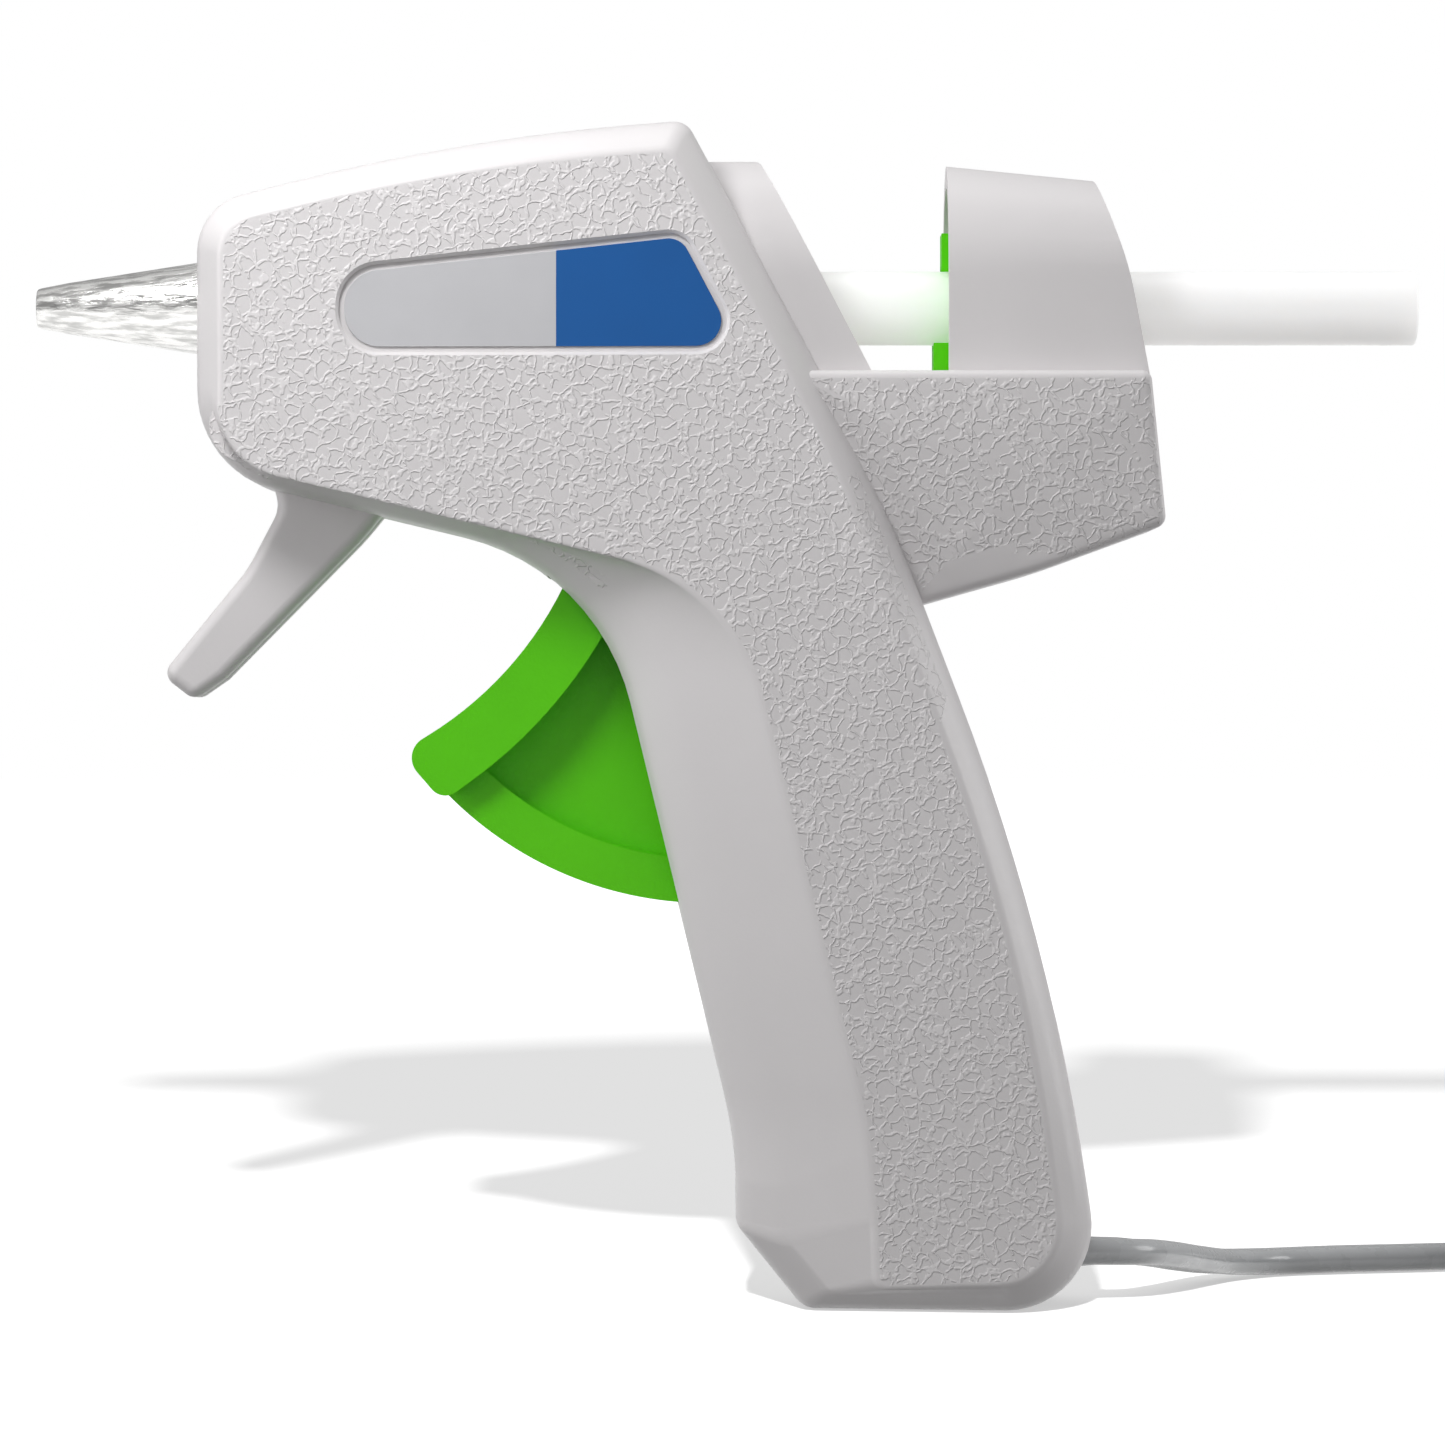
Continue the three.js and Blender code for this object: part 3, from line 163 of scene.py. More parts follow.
FLOOR_DZ = FLOOR_Z - AXIS_Z
REAR_LOW = on_axis([
    (6.1, FLOOR_DZ, 1), (40.9, FLOOR_DZ, 1), (42.5, FLOOR_DZ - 14.8, 1.2),
    (30.2, FLOOR_DZ - 19.3, 60), (18.2, FLOOR_DZ - 22.7, 1),
])
REAR_TOP = on_axis([
    (21.5, 20, 0.1), (33.3, 20, 0.1), (35.9, 12.4, 0.3), (39, 3.3, 40), (41, FLOOR_DZ - 0.8, 0.1),
    (21.5, FLOOR_DZ - 0.8, 0.1),
])
WEB = on_axis([
    (-6, 14.4, 1), (3.1, 14.4, 1.2), (14.9, FLOOR_DZ - 1.7, 1), (4, FLOOR_DZ - 1.7, 1),
])
LEG = on_axis([
    (-44.9, -14.6, 1.4), (-30.9, -17, 1.4), (-35.3, -22.5, 30), (-48.9, -36.3, 1.5),
    (-51.9, -38.4, 1.35), (-55.1, -35.9, 1.35), (-46.7, -25.6, 12), (-43.6, -19.7, 3),
])
LABEL = on_axis([(-37.3, 3.1, 4), (-4.1, 6.7, 2.6), (2, -4.9, 3), (-37.3, -5, 4)])
LABEL_SPLIT_X = -16.4
# The fourth is not where the frame's shell_screw_4 is, which is a fault.
SCREW_PLACES = [
    (-46.2, AXIS_Z - 11.9), (-11, AXIS_Z + 11.2), (PIVOT[0] + 20.5, PIVOT[2] - 22.7),
    (17.5, 15), (36, FLOOR_Z - 11.7),
]
# How far out each screw's post reaches, and how far the rear block's foot rolls inward.
BOSS_ENDS = [BODY_HALF - 1.5, BODY_HALF - 1.5, BODY_HALF - 1.5, 8.6, 7.8]
REAR_ROLL = 4.2


# ---- Surfaces as (points, faces) ----
def unit(vectors):
    """Vectors scaled to length one."""
    return vectors / np.linalg.norm(vectors, axis=-1, keepdims=True)


def rounded(corners, steps=12):
    """Closed polygon with arcs at its corners.

    An arc of radius r at a corner whose edges part by the angle 2h starts r / tan h before the
    corner, has its centre r / sin h along the bisector, and turns by pi - 2h.
    """
    here, radius = corners[:, :2], corners[:, 2:]
    before = unit(np.roll(here, 1, 0) - here)
    after = unit(np.roll(here, -1, 0) - here)
    half = np.arccos((before * after).sum(1, keepdims=True)) / 2
    centre = here + unit(before + after) * radius / np.sin(half)
    spoke = here + before * radius / np.tan(half) - centre
    side = np.sign(after[:, :1] * before[:, 1:] - after[:, 1:] * before[:, :1])
    angle = side * (math.pi - 2 * half) * np.linspace(0, 1, steps + 1)
    cos, sin = np.cos(angle), np.sin(angle)
    x = centre[:, :1] + spoke[:, :1] * cos - spoke[:, 1:] * sin
    z = centre[:, 1:] + spoke[:, :1] * sin + spoke[:, 1:] * cos
    return np.stack([x, z], -1).reshape(-1, 2)


def shrunk(points, distance):
    """A closed clockwise outline moved inward: each point goes along the mean normal of its two
    edges, by distance over the cosine of half the turn."""
    before = unit(points - np.roll(points, 1, 0))
    after = unit(np.roll(points, -1, 0) - points)
    share = distance / np.maximum(1 + (before * after).sum(1, keepdims=True), 0.2)
    tangent = before + after
    return points + share * np.stack([tangent[:, 1], -tangent[:, 0]], -1)


def ring(points, y):
    """An X-Z outline as a ring of space points at half width y (one value or one per point)."""
    return np.stack([points[:, 0], np.broadcast_to(y, len(points)), points[:, 1]], -1)


def softened(rings, reach, steps=5):
    """Rings whose inner ones are replaced by quadratic Bezier curves, point by point.

    Each curve starts and ends at most `reach` before and after its own ring, or 0.45 of the way.
    """
    t = np.linspace(0, 1, steps)[:, None, None]
    out = [rings[0]]
    for before, here, after, far in zip(rings, rings[1:], rings[2:], reach):
        ends = []
        for other in (before, after):
            way = other - here
            length = np.linalg.norm(way, axis=-1, keepdims=True)
            ends.append(here + way * np.minimum(0.45, far / np.maximum(length, 1e-6)))
        out.extend((1 - t) ** 2 * ends[0] + 2 * t * (1 - t) * here + t ** 2 * ends[1])
    return [*out, rings[-1]]


def loft(rings, capped=True):
    """Closed surface through rings of equal point counts: quads between neighbours, and one
    face over the first and the last ring. Its faces are turned outward by its signed volume."""
    rings = np.asarray(rings)
    count, size = rings.shape[:2]
    points = rings.reshape(-1, 3)
    i, j = np.meshgrid(np.arange(count - 1), np.arange(size), indexing="ij")
    k = (j + 1) % size
    quads = np.stack([i * size + j, i * size + k, (i + 1) * size + k, (i + 1) * size + j], -1)
    faces = quads.reshape(-1, 4).tolist()
    if capped:
        faces.append(list(range(size))[::-1])
        faces.append(list(range((count - 1) * size, count * size)))
    corners = points[quads.reshape(-1, 4)]
    normal = np.cross(corners[:, 2] - corners[:, 0], corners[:, 3] - corners[:, 1])
    inward = (corners.mean(1) * normal).sum()
    for cap in faces[len(quads.reshape(-1, 4)):]:
        p = points[cap]
        inward += (p.mean(0) * np.cross(p, np.roll(p, -1, 0)).sum(0)).sum()
    return points, faces if inward > 0 else [face[::-1] for face in faces]


def slab(points, y0, y1, edge=0.0, steps=4):
    """Plate over a clockwise X-Z outline between two values of Y, with quarter-round edges:
    at angle a the outline is shrunk by edge * (1 - cos a) and lies edge * (1 - sin a) inside."""
    if not edge:
        return loft([ring(points, y0), ring(points, y1)])
    angles = np.linspace(math.pi / 2, 0, steps + 1)
    near = [ring(shrunk(points, edge * (1 - math.cos(a))), y0 + edge * (1 - math.sin(a))) for a in angles]
    far = [ring(shrunk(points, edge * (1 - math.cos(a))), y1 - edge * (1 - math.sin(a))) for a in angles]
    return loft(near + far[::-1])


def circle(x, z, radius, sides=32):
    """Clockwise circle in the X-Z plane."""
    a = -np.linspace(0, 2 * math.pi, sides, endpoint=False)
    return np.stack([x + radius * np.cos(a), z + radius * np.sin(a)], -1)


def turned(profile, sides=72):
    """Surface of revolution about the stick axis from (x, radius) points that start and end on
    the axis: y = r cos a, z = r sin a."""
    profile = np.array(profile, float)
    a = np.linspace(0, 2 * math.pi, sides, endpoint=False)
    x, r = profile[:, :1], np.maximum(profile[:, 1:], 1e-4)
    rings = np.stack([x + 0 * a, r * np.cos(a), AXIS_Z + r * np.sin(a)], -1)
    return loft(rings)


def mirrored(surface):
    """The same surface on the other side of Y = 0, with its faces turned back outward."""
    points, faces = surface
    return points * (1, -1, 1), [face[::-1] for face in faces]


def brick(x0, x1, y0, y1, z0, z1):
    """Box between two values of each coordinate."""
    corners = np.array([(x0, z0), (x0, z1), (x1, z1), (x1, z0)], float)
    return slab(corners, y0, y1)


# ---- Meshes ----
def mesh_of(name, surface):
    """A surface in millimetres as a mesh in metres."""
    points, faces = surface
    mesh = bpy.data.meshes.new(name)
    mesh.from_pydata((np.asarray(points) * MM).tolist(), [], faces)
    return mesh


def surface_of(mesh):
    """A mesh in metres as a surface in millimetres."""
    points = np.empty(len(mesh.vertices) * 3)
    mesh.vertices.foreach_get("co", points)
    return points.reshape(-1, 3) / MM, [list(polygon.vertices) for polygon in mesh.polygons]


def worked(base, *steps):
    """A surface after boolean steps, each (operation, surface, ...)."""
    scene = bpy.context.scene.collection
    whole = bpy.data.objects.new("work", mesh_of("work", base))
    scene.objects.link(whole)
    tools = []
    for operation, *surfaces in steps:
        for surface in surfaces:
            tool = bpy.data.objects.new("tool", mesh_of("tool", surface))
            scene.objects.link(tool)
            tools.append(tool)
            modifier = whole.modifiers.new("cut", "BOOLEAN")
            modifier.operation = operation
            modifier.solver = "MANIFOLD"
            modifier.object = tool
    view = bpy.context.evaluated_depsgraph_get()
    result = bpy.data.meshes.new_from_object(whole.evaluated_get(view))
    surface = surface_of(result)
    for thing in (whole, *tools):
        bpy.data.objects.remove(thing)
    if not surface[1]:
        raise RuntimeError("a boolean step left nothing")
    return surface


def bevelled(surface, width, angle=35, segments=3):
    """A surface after a Bevel on its edges sharper than an angle."""
    whole = bpy.data.objects.new("work", mesh_of("work", surface))
    bpy.context.scene.collection.objects.link(whole)
    modifier = whole.modifiers.new("edges", "BEVEL")
    modifier.width = width * MM
    modifier.segments = segments
    modifier.limit_method = "ANGLE"
    modifier.angle_limit = math.radians(angle)
    view = bpy.context.evaluated_depsgraph_get()
    result = surface_of(bpy.data.meshes.new_from_object(whole.evaluated_get(view)))
    bpy.data.objects.remove(whole)
    return result


def piece(name, surface, body, slot, *materials, replaces=(), sharp=32, weighted=True):
    """A finished mesh object at the origin that rides on a body."""
    mesh = mesh_of(name, surface)
    mesh.validate()
    mesh.polygons.foreach_set("use_smooth", np.ones(len(mesh.polygons), bool))
    mesh.set_sharp_from_angle(angle=math.radians(sharp))
    for material in materials:
        mesh.materials.append(material)
    made = bpy.data.objects.new(name, mesh)
    bpy.context.scene.collection.objects.link(made)
    if weighted:
        normals = made.modifiers.new("flat faces first", "WEIGHTED_NORMAL")
        normals.keep_sharp = True
    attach(made, body)
    if replaces:
        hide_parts(*replaces)
    return made


# ---- Materials ----
class Nodes:
    """Small helper that adds and links shader nodes."""

    def __init__(self, name, **shader):
        self.material = bpy.data.materials.new(name)
        self.material.use_nodes = True
        self.tree = self.material.node_tree
        self.shader = self.tree.nodes["Principled BSDF"]
        for socket, value in shader.items():
            self.shader.inputs[socket.replace("_", " ")].default_value = value
        coordinates = self.tree.nodes.new("ShaderNodeTexCoord")
        self.place = coordinates.outputs["Object"]

    def add(self, kind, inputs=None, **values):
        node = self.tree.nodes.new("ShaderNode" + kind)
        for key, value in values.items():
            setattr(node, key, value)
        for socket, value in (inputs or {}).items():
            self.link(value, node.inputs[socket])
        return node

    def link(self, value, socket):
        if isinstance(value, bpy.types.NodeSocket):
            self.tree.links.new(value, socket)
        else:
            socket.default_value = value

    def noise(self, scale, detail=3.0, place=None, **inputs):
        sockets = {"Vector": place or self.place, "Scale": scale, "Detail": detail, **inputs}
        found = self.add("TexNoise", sockets)
        return found.outputs["Fac"]

    def math(self, operation, a, b=0.0, c=0.0, clamp=False):
        found = self.add("Math", {0: a, 1: b, 2: c}, operation=operation, use_clamp=clamp)
        return found.outputs[0]

    def span(self, value, low, high, to_low=0.0, to_high=1.0, smooth=True):
        found = self.add(
            "MapRange",
            {"Value": value, "From Min": low, "From Max": high, "To Min": to_low, "To Max": to_high},
            interpolation_type="SMOOTHSTEP" if smooth else "LINEAR")
        return found.outputs["Result"]

    def mix(self, share, a, b):
        found = self.add("Mix", data_type="RGBA")
        for socket, value in zip([i for i in found.inputs if i.enabled], (share, a, b)):
            self.link(value, socket)
        return [o for o in found.outputs if o.enabled][0]

    def bump(self, height, distance, strength=1.0, normal=None):
        inputs = {"Height": height, "Distance": distance, "Strength": strength}
        if normal is not None:
            inputs["Normal"] = normal
        return self.add("Bump", inputs).outputs["Normal"]

    def to_shader(self, **links):
        for socket, value in links.items():
            self.link(value, self.shader.inputs[socket.replace("_", " ")])
        return self.material


def tinted(colour, share):
    """A colour made darker or lighter by a share."""
    return (*[channel * share for channel in colour[:3]], 1)


def moulded_plastic(name, colour, roughness=0.42, mottle=0.04):
    """Smooth moulded plastic: faint cloudiness and a fine satin skin."""
    n = Nodes(name, IOR=1.5)
    cloud = n.noise(90, 4)
    skin = n.noise(2600, 2)
    return n.to_shader(
        Base_Color=n.mix(cloud, tinted(colour, 1 - mottle), tinted(colour, 1 + mottle)),
        Roughness=n.span(skin, 0.3, 0.7, roughness - 0.05, roughness + 0.07),
        Normal=n.bump(skin, 0.00002, 0.5))


def grained_plastic(name, colour, pitch):
    """Moulded leather grain: short raised worms round flat islands.

    The worms are the cell borders of a Voronoi pattern on swirled coordinates. A second noise of
    about the same pitch breaks them. Their colour is painted a little lighter than the ground
    between: a painted highlight on the raised ridges.
    """
    n = Nodes(name, IOR=1.5)
    swirl = n.add("TexNoise", {"Vector": n.place, "Scale": 0.9 / pitch, "Detail": 2.0}).outputs["Color"]
    offset = n.add("VectorMath", {0: swirl, 1: (0.5, 0.5, 0.5)}, operation="SUBTRACT").outputs[0]
    moved = n.add("VectorMath", {0: offset, 3: pitch * 1.3}, operation="SCALE").outputs[0]
    place = n.add("VectorMath", {0: n.place, 1: moved}, operation="ADD").outputs[0]
    cells = n.add("TexVoronoi", {"Vector": place, "Scale": 1 / pitch}, feature="DISTANCE_TO_EDGE")
    breaks = n.span(n.noise(1.5 / pitch, 1), 0.36, 0.46)
    worm = n.math("MULTIPLY", n.span(cells.outputs["Distance"], 0.02, 0.13, 1, 0), breaks)
    fine = n.noise(6 / pitch, 3)
    height = n.math("ADD", worm, n.math("MULTIPLY", fine, 0.2))
    ground = n.mix(n.noise(90, 4), tinted(colour, 0.95), tinted(colour, 1.01))
    return n.to_shader(
        # The worms' lighter tint is a painted highlight on the ridges; their relief comes from the bump.
        Base_Color=n.mix(worm, ground, tinted(colour, 1.06)),
        Roughness=n.span(fine, 0.3, 0.7, 0.42, 0.55),
        Normal=n.bump(height, 0.00007, 1.0))


def green_plastic(name, colour):
    """Satin green plastic with faint cloudiness."""
    n = Nodes(name, IOR=1.5)
    n.shader.inputs["Specular IOR Level"].default_value = 0.3
    fine = n.noise(3000, 3)
    cloud = n.noise(120, 3)
    return n.to_shader(
        Base_Color=n.mix(cloud, tinted(colour, 0.92), tinted(colour, 1.08)),
        Roughness=n.span(fine, 0.3, 0.7, 0.36, 0.5),
        Normal=n.bump(fine, 0.00005, 0.6))


def metal(name, colour, roughness, streak=(400, 400, 400), depth=0.00003):
    """Metal with streaks: a noise stretched along one axis drives its roughness and relief, and darkens its colour
    in streaks that are painted reflection bands.
    """
    n = Nodes(name, Metallic=1.0)
    stretched = n.add("Mapping", {"Vector": n.place, "Scale": streak}).outputs[0]
    lines = n.noise(1, 4, stretched)
    return n.to_shader(
        # Painted reflection: the darker streaks in the colour stand in for dark bands reflected in the metal.
        Base_Color=n.mix(n.span(lines, 0.35, 0.6), tinted(colour, 0.6), colour),
        Roughness=n.span(lines, 0.3, 0.7, roughness * 0.7, roughness * 1.4),
        Normal=n.bump(lines, depth, 0.6))


def speckled(name, colour, roughness, share=0.15, scale=900, **shader):
    """A plain matt stuff with fine speckle and relief."""
    n = Nodes(name, **shader)
    dots = n.noise(scale, 4)
    return n.to_shader(
        Base_Color=n.mix(dots, tinted(colour, 1 - share), tinted(colour, 1 + share)),
        Roughness=n.span(dots, 0.3, 0.7, roughness - 0.08, roughness + 0.08),
        Normal=n.bump(dots, 0.00003, 0.5))


def label_print(name, colour, roughness):
    """Printed film with a fine paper-like tooth, one colour on each piece."""
    n = Nodes(name, IOR=1.45)
    tooth = n.noise(4200, 2)
    fade = n.noise(160, 2)
    return n.to_shader(
        Base_Color=n.mix(fade, tinted(colour, 0.94), tinted(colour, 1.06)),
        Roughness=n.span(tooth, 0.3, 0.7, roughness, roughness + 0.12),
        Normal=n.bump(tooth, 0.00001, 0.4))


def milky_glue_painted_glow(name):
    """Translucent hot-melt glue: cloudy inside, with soft scuffs outside, and a faint painted glow."""
    # The emission is a painted glow: the stick gives off a little light of its own, though it is no lamp.
    n = Nodes(name, IOR=1.48, Subsurface_Weight=0.9, Subsurface_Scale=0.01, Emission_Strength=0.28)
    n.shader.inputs["Subsurface Radius"].default_value = (1.0, 0.95, 0.9)
    n.shader.inputs["Emission Color"].default_value = (1.0, 0.98, 0.95, 1)
    cloud = n.noise(220, 3)
    scuff = n.noise(60, 5)
    return n.to_shader(
        Base_Color=n.mix(cloud, (0.85, 0.855, 0.87, 1), (0.88, 0.885, 0.895, 1)),
        Roughness=n.span(scuff, 0.35, 0.65, 0.28, 0.45),
        Normal=n.bump(scuff, 0.00008, 0.3))


def vinyl(name, colour):
    """Clear grey vinyl over two conductors."""
    n = Nodes(name, IOR=1.45, Coat_Weight=0.3, Coat_Roughness=0.12)
    cloud = n.noise(300, 3)
    return n.to_shader(
        Base_Color=n.mix(cloud, tinted(colour, 0.88), tinted(colour, 1.1)),
        Roughness=n.span(cloud, 0.3, 0.7, 0.22, 0.34),
        Normal=n.bump(cloud, 0.00003, 0.4))


def lit_floor(name):
    """Pale bench that glows a little, and more beyond the far end of the shadow."""
    n = Nodes(name, Roughness=0.95)
    n.shader.inputs["Emission Color"].default_value = (1, 1, 1, 1)
    n.shader.inputs["Specular IOR Level"].default_value = 0.0
    depth = n.add("SeparateXYZ", {"Vector": n.place}).outputs["Y"]
    cloud = n.noise(6, 2)
    return n.to_shader(
        Base_Color=n.mix(cloud, (0.545, 0.545, 0.545, 1), (0.555, 0.555, 0.555, 1)),
        Emission_Strength=n.span(depth, SHADOW_END, SHADOW_END + 0.15, 0.46, 0.84))


# ---- Camera, light and floor ----
SHADOW_END = 0.57


def area_light(name, place, size, power, even=False):
    """Round lamp aimed at the gun. An even lamp is as strong at every distance."""
    data = bpy.data.lights.new(name, "AREA")
    data.shape = "DISK"
    data.size = size
    data.energy = power
    if even:
        data.use_nodes = True
        tree = data.node_tree
        falloff = tree.nodes.new("ShaderNodeLightFalloff")
        falloff.inputs["Strength"].default_value = 1.0
        tree.links.new(falloff.outputs["Constant"], tree.nodes["Emission"].inputs["Strength"])
    lamp = bpy.data.objects.new(name, data)
    lamp.location = place
    aim = Vector((0, 0, 0.06)) - Vector(place)
    lamp.rotation_euler = aim.to_track_quat("-Z", "Y").to_euler()
    bpy.context.scene.collection.objects.link(lamp)
    return lamp


def soft_room():
    """Room that the camera sees as white, and that lights the gun weakly from below, more from above."""
    world = bpy.data.worlds.new("soft_room")
    world.use_nodes = True
    tree = world.node_tree
    seen = tree.nodes["Background"]
    given = tree.nodes.new("ShaderNodeBackground")
    way = tree.nodes.new("ShaderNodeTexCoord")
    apart = tree.nodes.new("ShaderNodeSeparateXYZ")
    ramp = tree.nodes.new("ShaderNodeMapRange")
    path = tree.nodes.new("ShaderNodeLightPath")
    mix = tree.nodes.new("ShaderNodeMixShader")
    for socket, value in (("From Min", -0.7), ("From Max", 0.9), ("To Min", 0.16), ("To Max", 0.6)):
        ramp.inputs[socket].default_value = value
    for background in (seen, given):
        background.inputs["Color"].default_value = (1, 1, 1, 1)
    tree.links.new(way.outputs["Generated"], apart.inputs[0])
    tree.links.new(apart.outputs["Z"], ramp.inputs["Value"])
    tree.links.new(ramp.outputs["Result"], given.inputs["Strength"])
    tree.links.new(path.outputs["Is Camera Ray"], mix.inputs[0])
    tree.links.new(given.outputs[0], mix.inputs[1])
    tree.links.new(seen.outputs[0], mix.inputs[2])
    tree.links.new(mix.outputs[0], tree.nodes["World Output"].inputs["Surface"])
    return world


def lit_by(floor, lamps, state):
    """Lamps that light only the floor (INCLUDE) or everything but the floor (EXCLUDE)."""
    group = bpy.data.collections.new("floor_" + state.lower())
    group.objects.link(floor)
    group.collection_objects[0].light_linking.link_state = state
    for lamp in lamps:
        lamp.light_linking.receiver_collection = group


class GLUEGUN_OT_stage(bpy.types.Operator):
    """Set up the camera, the soft studio light and the pale floor"""

    bl_idname = "glue_gun.stage"
    bl_label = "Camera, light and floor"

    def execute(self, context):
        s = settings()
        data = bpy.data.cameras.new("studio_camera")
        data.sensor_width = 36
        data.lens = 36 * s.camera_distance / s.view_width
        data.clip_start = 0.05
        camera = bpy.data.objects.new("studio_camera", data)
        camera.location = (-0.0004, -s.camera_distance, s.camera_height)
        camera.rotation_euler = (math.pi / 2, 0, 0)
        context.scene.collection.objects.link(camera)
        context.scene.camera = camera

        context.scene.world = soft_room()
        context.scene.view_settings.view_transform = "Standard"

        top = area_light("top_softbox", (0.0, 0.04, 0.85), 0.3, 0.5)
        key = area_light("key_softbox", (-0.07, -0.095, 0.188), 0.05, 0.13)
        side = area_light("side_softbox", (-0.5, -0.2, 0.2), 0.25, 0.75)
        rim = area_light("rim_softbox", (0.45, 0.05, 0.16), 0.25, 0.6)
        shadow = area_light("shadow_lamp", (-0.026, -0.606, 0.243), 0.02, 26.0, even=True)

        reach, cells = 6.0, 8
        line = np.linspace(-reach, reach, cells + 1)
        x, y = np.meshgrid(line, line, indexing="ij")
        points = np.stack([x, y, 0 * x - 0.0002], -1).reshape(-1, 3)
        i, j = np.meshgrid(np.arange(cells), np.arange(cells), indexing="ij")
        k = (i * (cells + 1) + j).ravel()
        faces = np.stack([k, k + cells + 1, k + cells + 2, k + 1], -1).tolist()
        mesh = bpy.data.meshes.new("floor")
        mesh.from_pydata(points.tolist(), [], faces)
        mesh.materials.append(lit_floor("pale_floor"))
        floor = bpy.data.objects.new("floor", mesh)
        context.scene.collection.objects.link(floor)
        lit_by(floor, (shadow,), "INCLUDE")
        lit_by(floor, (top, key, side, rim), "EXCLUDE")
        floor.visible_diffuse = False
        return {"FINISHED"}


# ---- Mains cord ----
CORD_EXIT = (36.1, 5.2)
CLAMP_X, CLAMP_Z = 26.0, 12.0
COIL_CENTRE = np.array([112.5, 21.0])
COIL_ENTRY = math.radians(110)
COIL_OUTER = 34.2
COIL_BASE = 0.7


def route_points():
    """The stretch of the lead from the clamp to the coil, in millimetres."""
    thick = settings().cord_thickness / MM
    width = settings().cord_width / MM
    floor_z = thick / 2 + 0.05
    turn_r = COIL_OUTER - width / 2
    clear = math.sqrt(COIL_OUTER ** 2 - (turn_r - width / 2) ** 2) + 0.3
    out = np.array([math.cos(COIL_ENTRY), math.sin(COIL_ENTRY)])
    ahead = np.array([out[1], -out[0]])
    return np.array([
        (CLAMP_X - 3.5, 0, CLAMP_Z), (CLAMP_X + 2.5, 0, CLAMP_Z), (31, 0, CORD_EXIT[1] + 3),
        (CORD_EXIT[0] - 2.8, 0, CORD_EXIT[1] + 0.1), (CORD_EXIT[0], 0, CORD_EXIT[1]), (39.5, 1.8, 5),
        (43, 8.5, 4.2), (46.5, 18, 3), (50.5, 27.5, 1.9), (56, 34.5, floor_z), (63, 37.6, floor_z),
        (72, 40.2, floor_z), (*(COIL_CENTRE + turn_r * out - clear * ahead), floor_z),
        (*(COIL_CENTRE + turn_r * out - 5 * ahead), floor_z + 0.4),
    ])


def through(points, per=10):
    """Smooth curve through points: centripetal Catmull-Rom, by the Barry-Goldman pyramid.

    Knots grow by the square root of the distance between points. Each level blends two
    neighbouring lines linearly in the knot value.
    """
    padded = np.vstack([2 * points[0] - points[1], points, 2 * points[-1] - points[-2]])
    gaps = np.sqrt(np.linalg.norm(np.diff(padded, axis=0), axis=1))
    knots = np.concatenate([[0], np.cumsum(gaps)])
    k = np.arange(len(points) - 1)
    p = [padded[k + i][:, None] for i in range(4)]
    t = [knots[k + i][:, None, None] for i in range(4)]
    now = t[1] + (t[2] - t[1]) * (np.arange(per) / per)[None, :, None]

    def blend(a, b, ta, tb):
        return a + (b - a) * (now - ta) / (tb - ta)

    first = [blend(p[i], p[i + 1], t[i], t[i + 1]) for i in range(3)]
    second = [blend(first[i], first[i + 1], t[i], t[i + 2]) for i in range(2)]
    curve = blend(second[0], second[1], t[1], t[2]).reshape(-1, 3)
    return np.vstack([curve, points[-1:]])


def coil_points(per_turn=40):
    """Nearly seven turns, clockwise, in two columns and four layers.

    The angle falls evenly. Radius and height step from one turn's place to the next along a
    smoothstep over the last fifth of each turn.
    """
    width = settings().cord_width / MM
    thick = settings().cord_thickness / MM
    outer = COIL_OUTER - width / 2
    inner = outer - width - 0.2
    low = COIL_BASE + thick / 2 + 0.05
    radius = np.array([outer, inner, inner, outer, outer, inner, outer])
    layer = np.array([0, 0, 1, 1, 2, 2, 3])
    whole = len(radius) - 1
    count = round((whole + (COIL_ENTRY + math.pi) / (2 * math.pi)) * per_turn)
    turns = np.arange(count + 1) / per_turn
    at = np.minimum(turns.astype(int), whole)
    following = np.minimum(at + 1, whole)
    share = np.clip((turns - at - 0.8) / 0.2, 0, 1)
    share = share * share * (3 - 2 * share)
    r = radius[at] + (radius[following] - radius[at]) * share
    z = low + (thick + 0.05) * (layer[at] + (layer[following] - layer[at]) * share)
    angle = COIL_ENTRY - 2 * math.pi * turns
    return np.stack([COIL_CENTRE[0] + r * np.cos(angle), COIL_CENTRE[1] + r * np.sin(angle), z], -1)


def cord_route():
    """The whole centreline: clamp to coil, the coil, and the tail that turns to the plug."""
    plug_low, plug_high = node_box("plug_body")
    plug = (plug_low + plug_high) / 2
    coil = coil_points()
    x = coil[-1][0]
    tail = through(np.array([
        coil[-1], (x, COIL_CENTRE[1] + 18.4, 8.2), (x + 1.2, plug[1] - 20, 7.4),
        (x + 6.5, plug[1] - 8.6, 6.5), (x + 15.5, plug[1] - 1.6, plug[2]),
        (plug_low[0] - 3, plug[1], plug[2]), (plug_low[0] + 2, plug[1], plug[2]),
    ]))
    return np.vstack([through(route_points()), coil, tail[1:]])


def twin_section(width, thick, count=28):
    """Figure-of-eight section: half height thick/2 * sqrt(1 - u^2) of each lobe, floored at the
    web between them. Returned as (across, up) pairs round the section."""
    a = np.linspace(0, 2 * math.pi, count, endpoint=False) + math.pi / count
    across = np.cos(a)
    lobe = width / 2 - thick / 2
    u = (np.abs(across) * width / 2 - lobe) / (thick / 2)
    height = thick / 2 * np.sqrt(np.clip(1 - u ** 2, 0, 1))
    height = np.maximum(height, 0.28 * thick * (np.abs(across) * width / 2 < lobe))
    return np.stack([across * width / 2, np.sign(np.sin(a)) * height], -1)


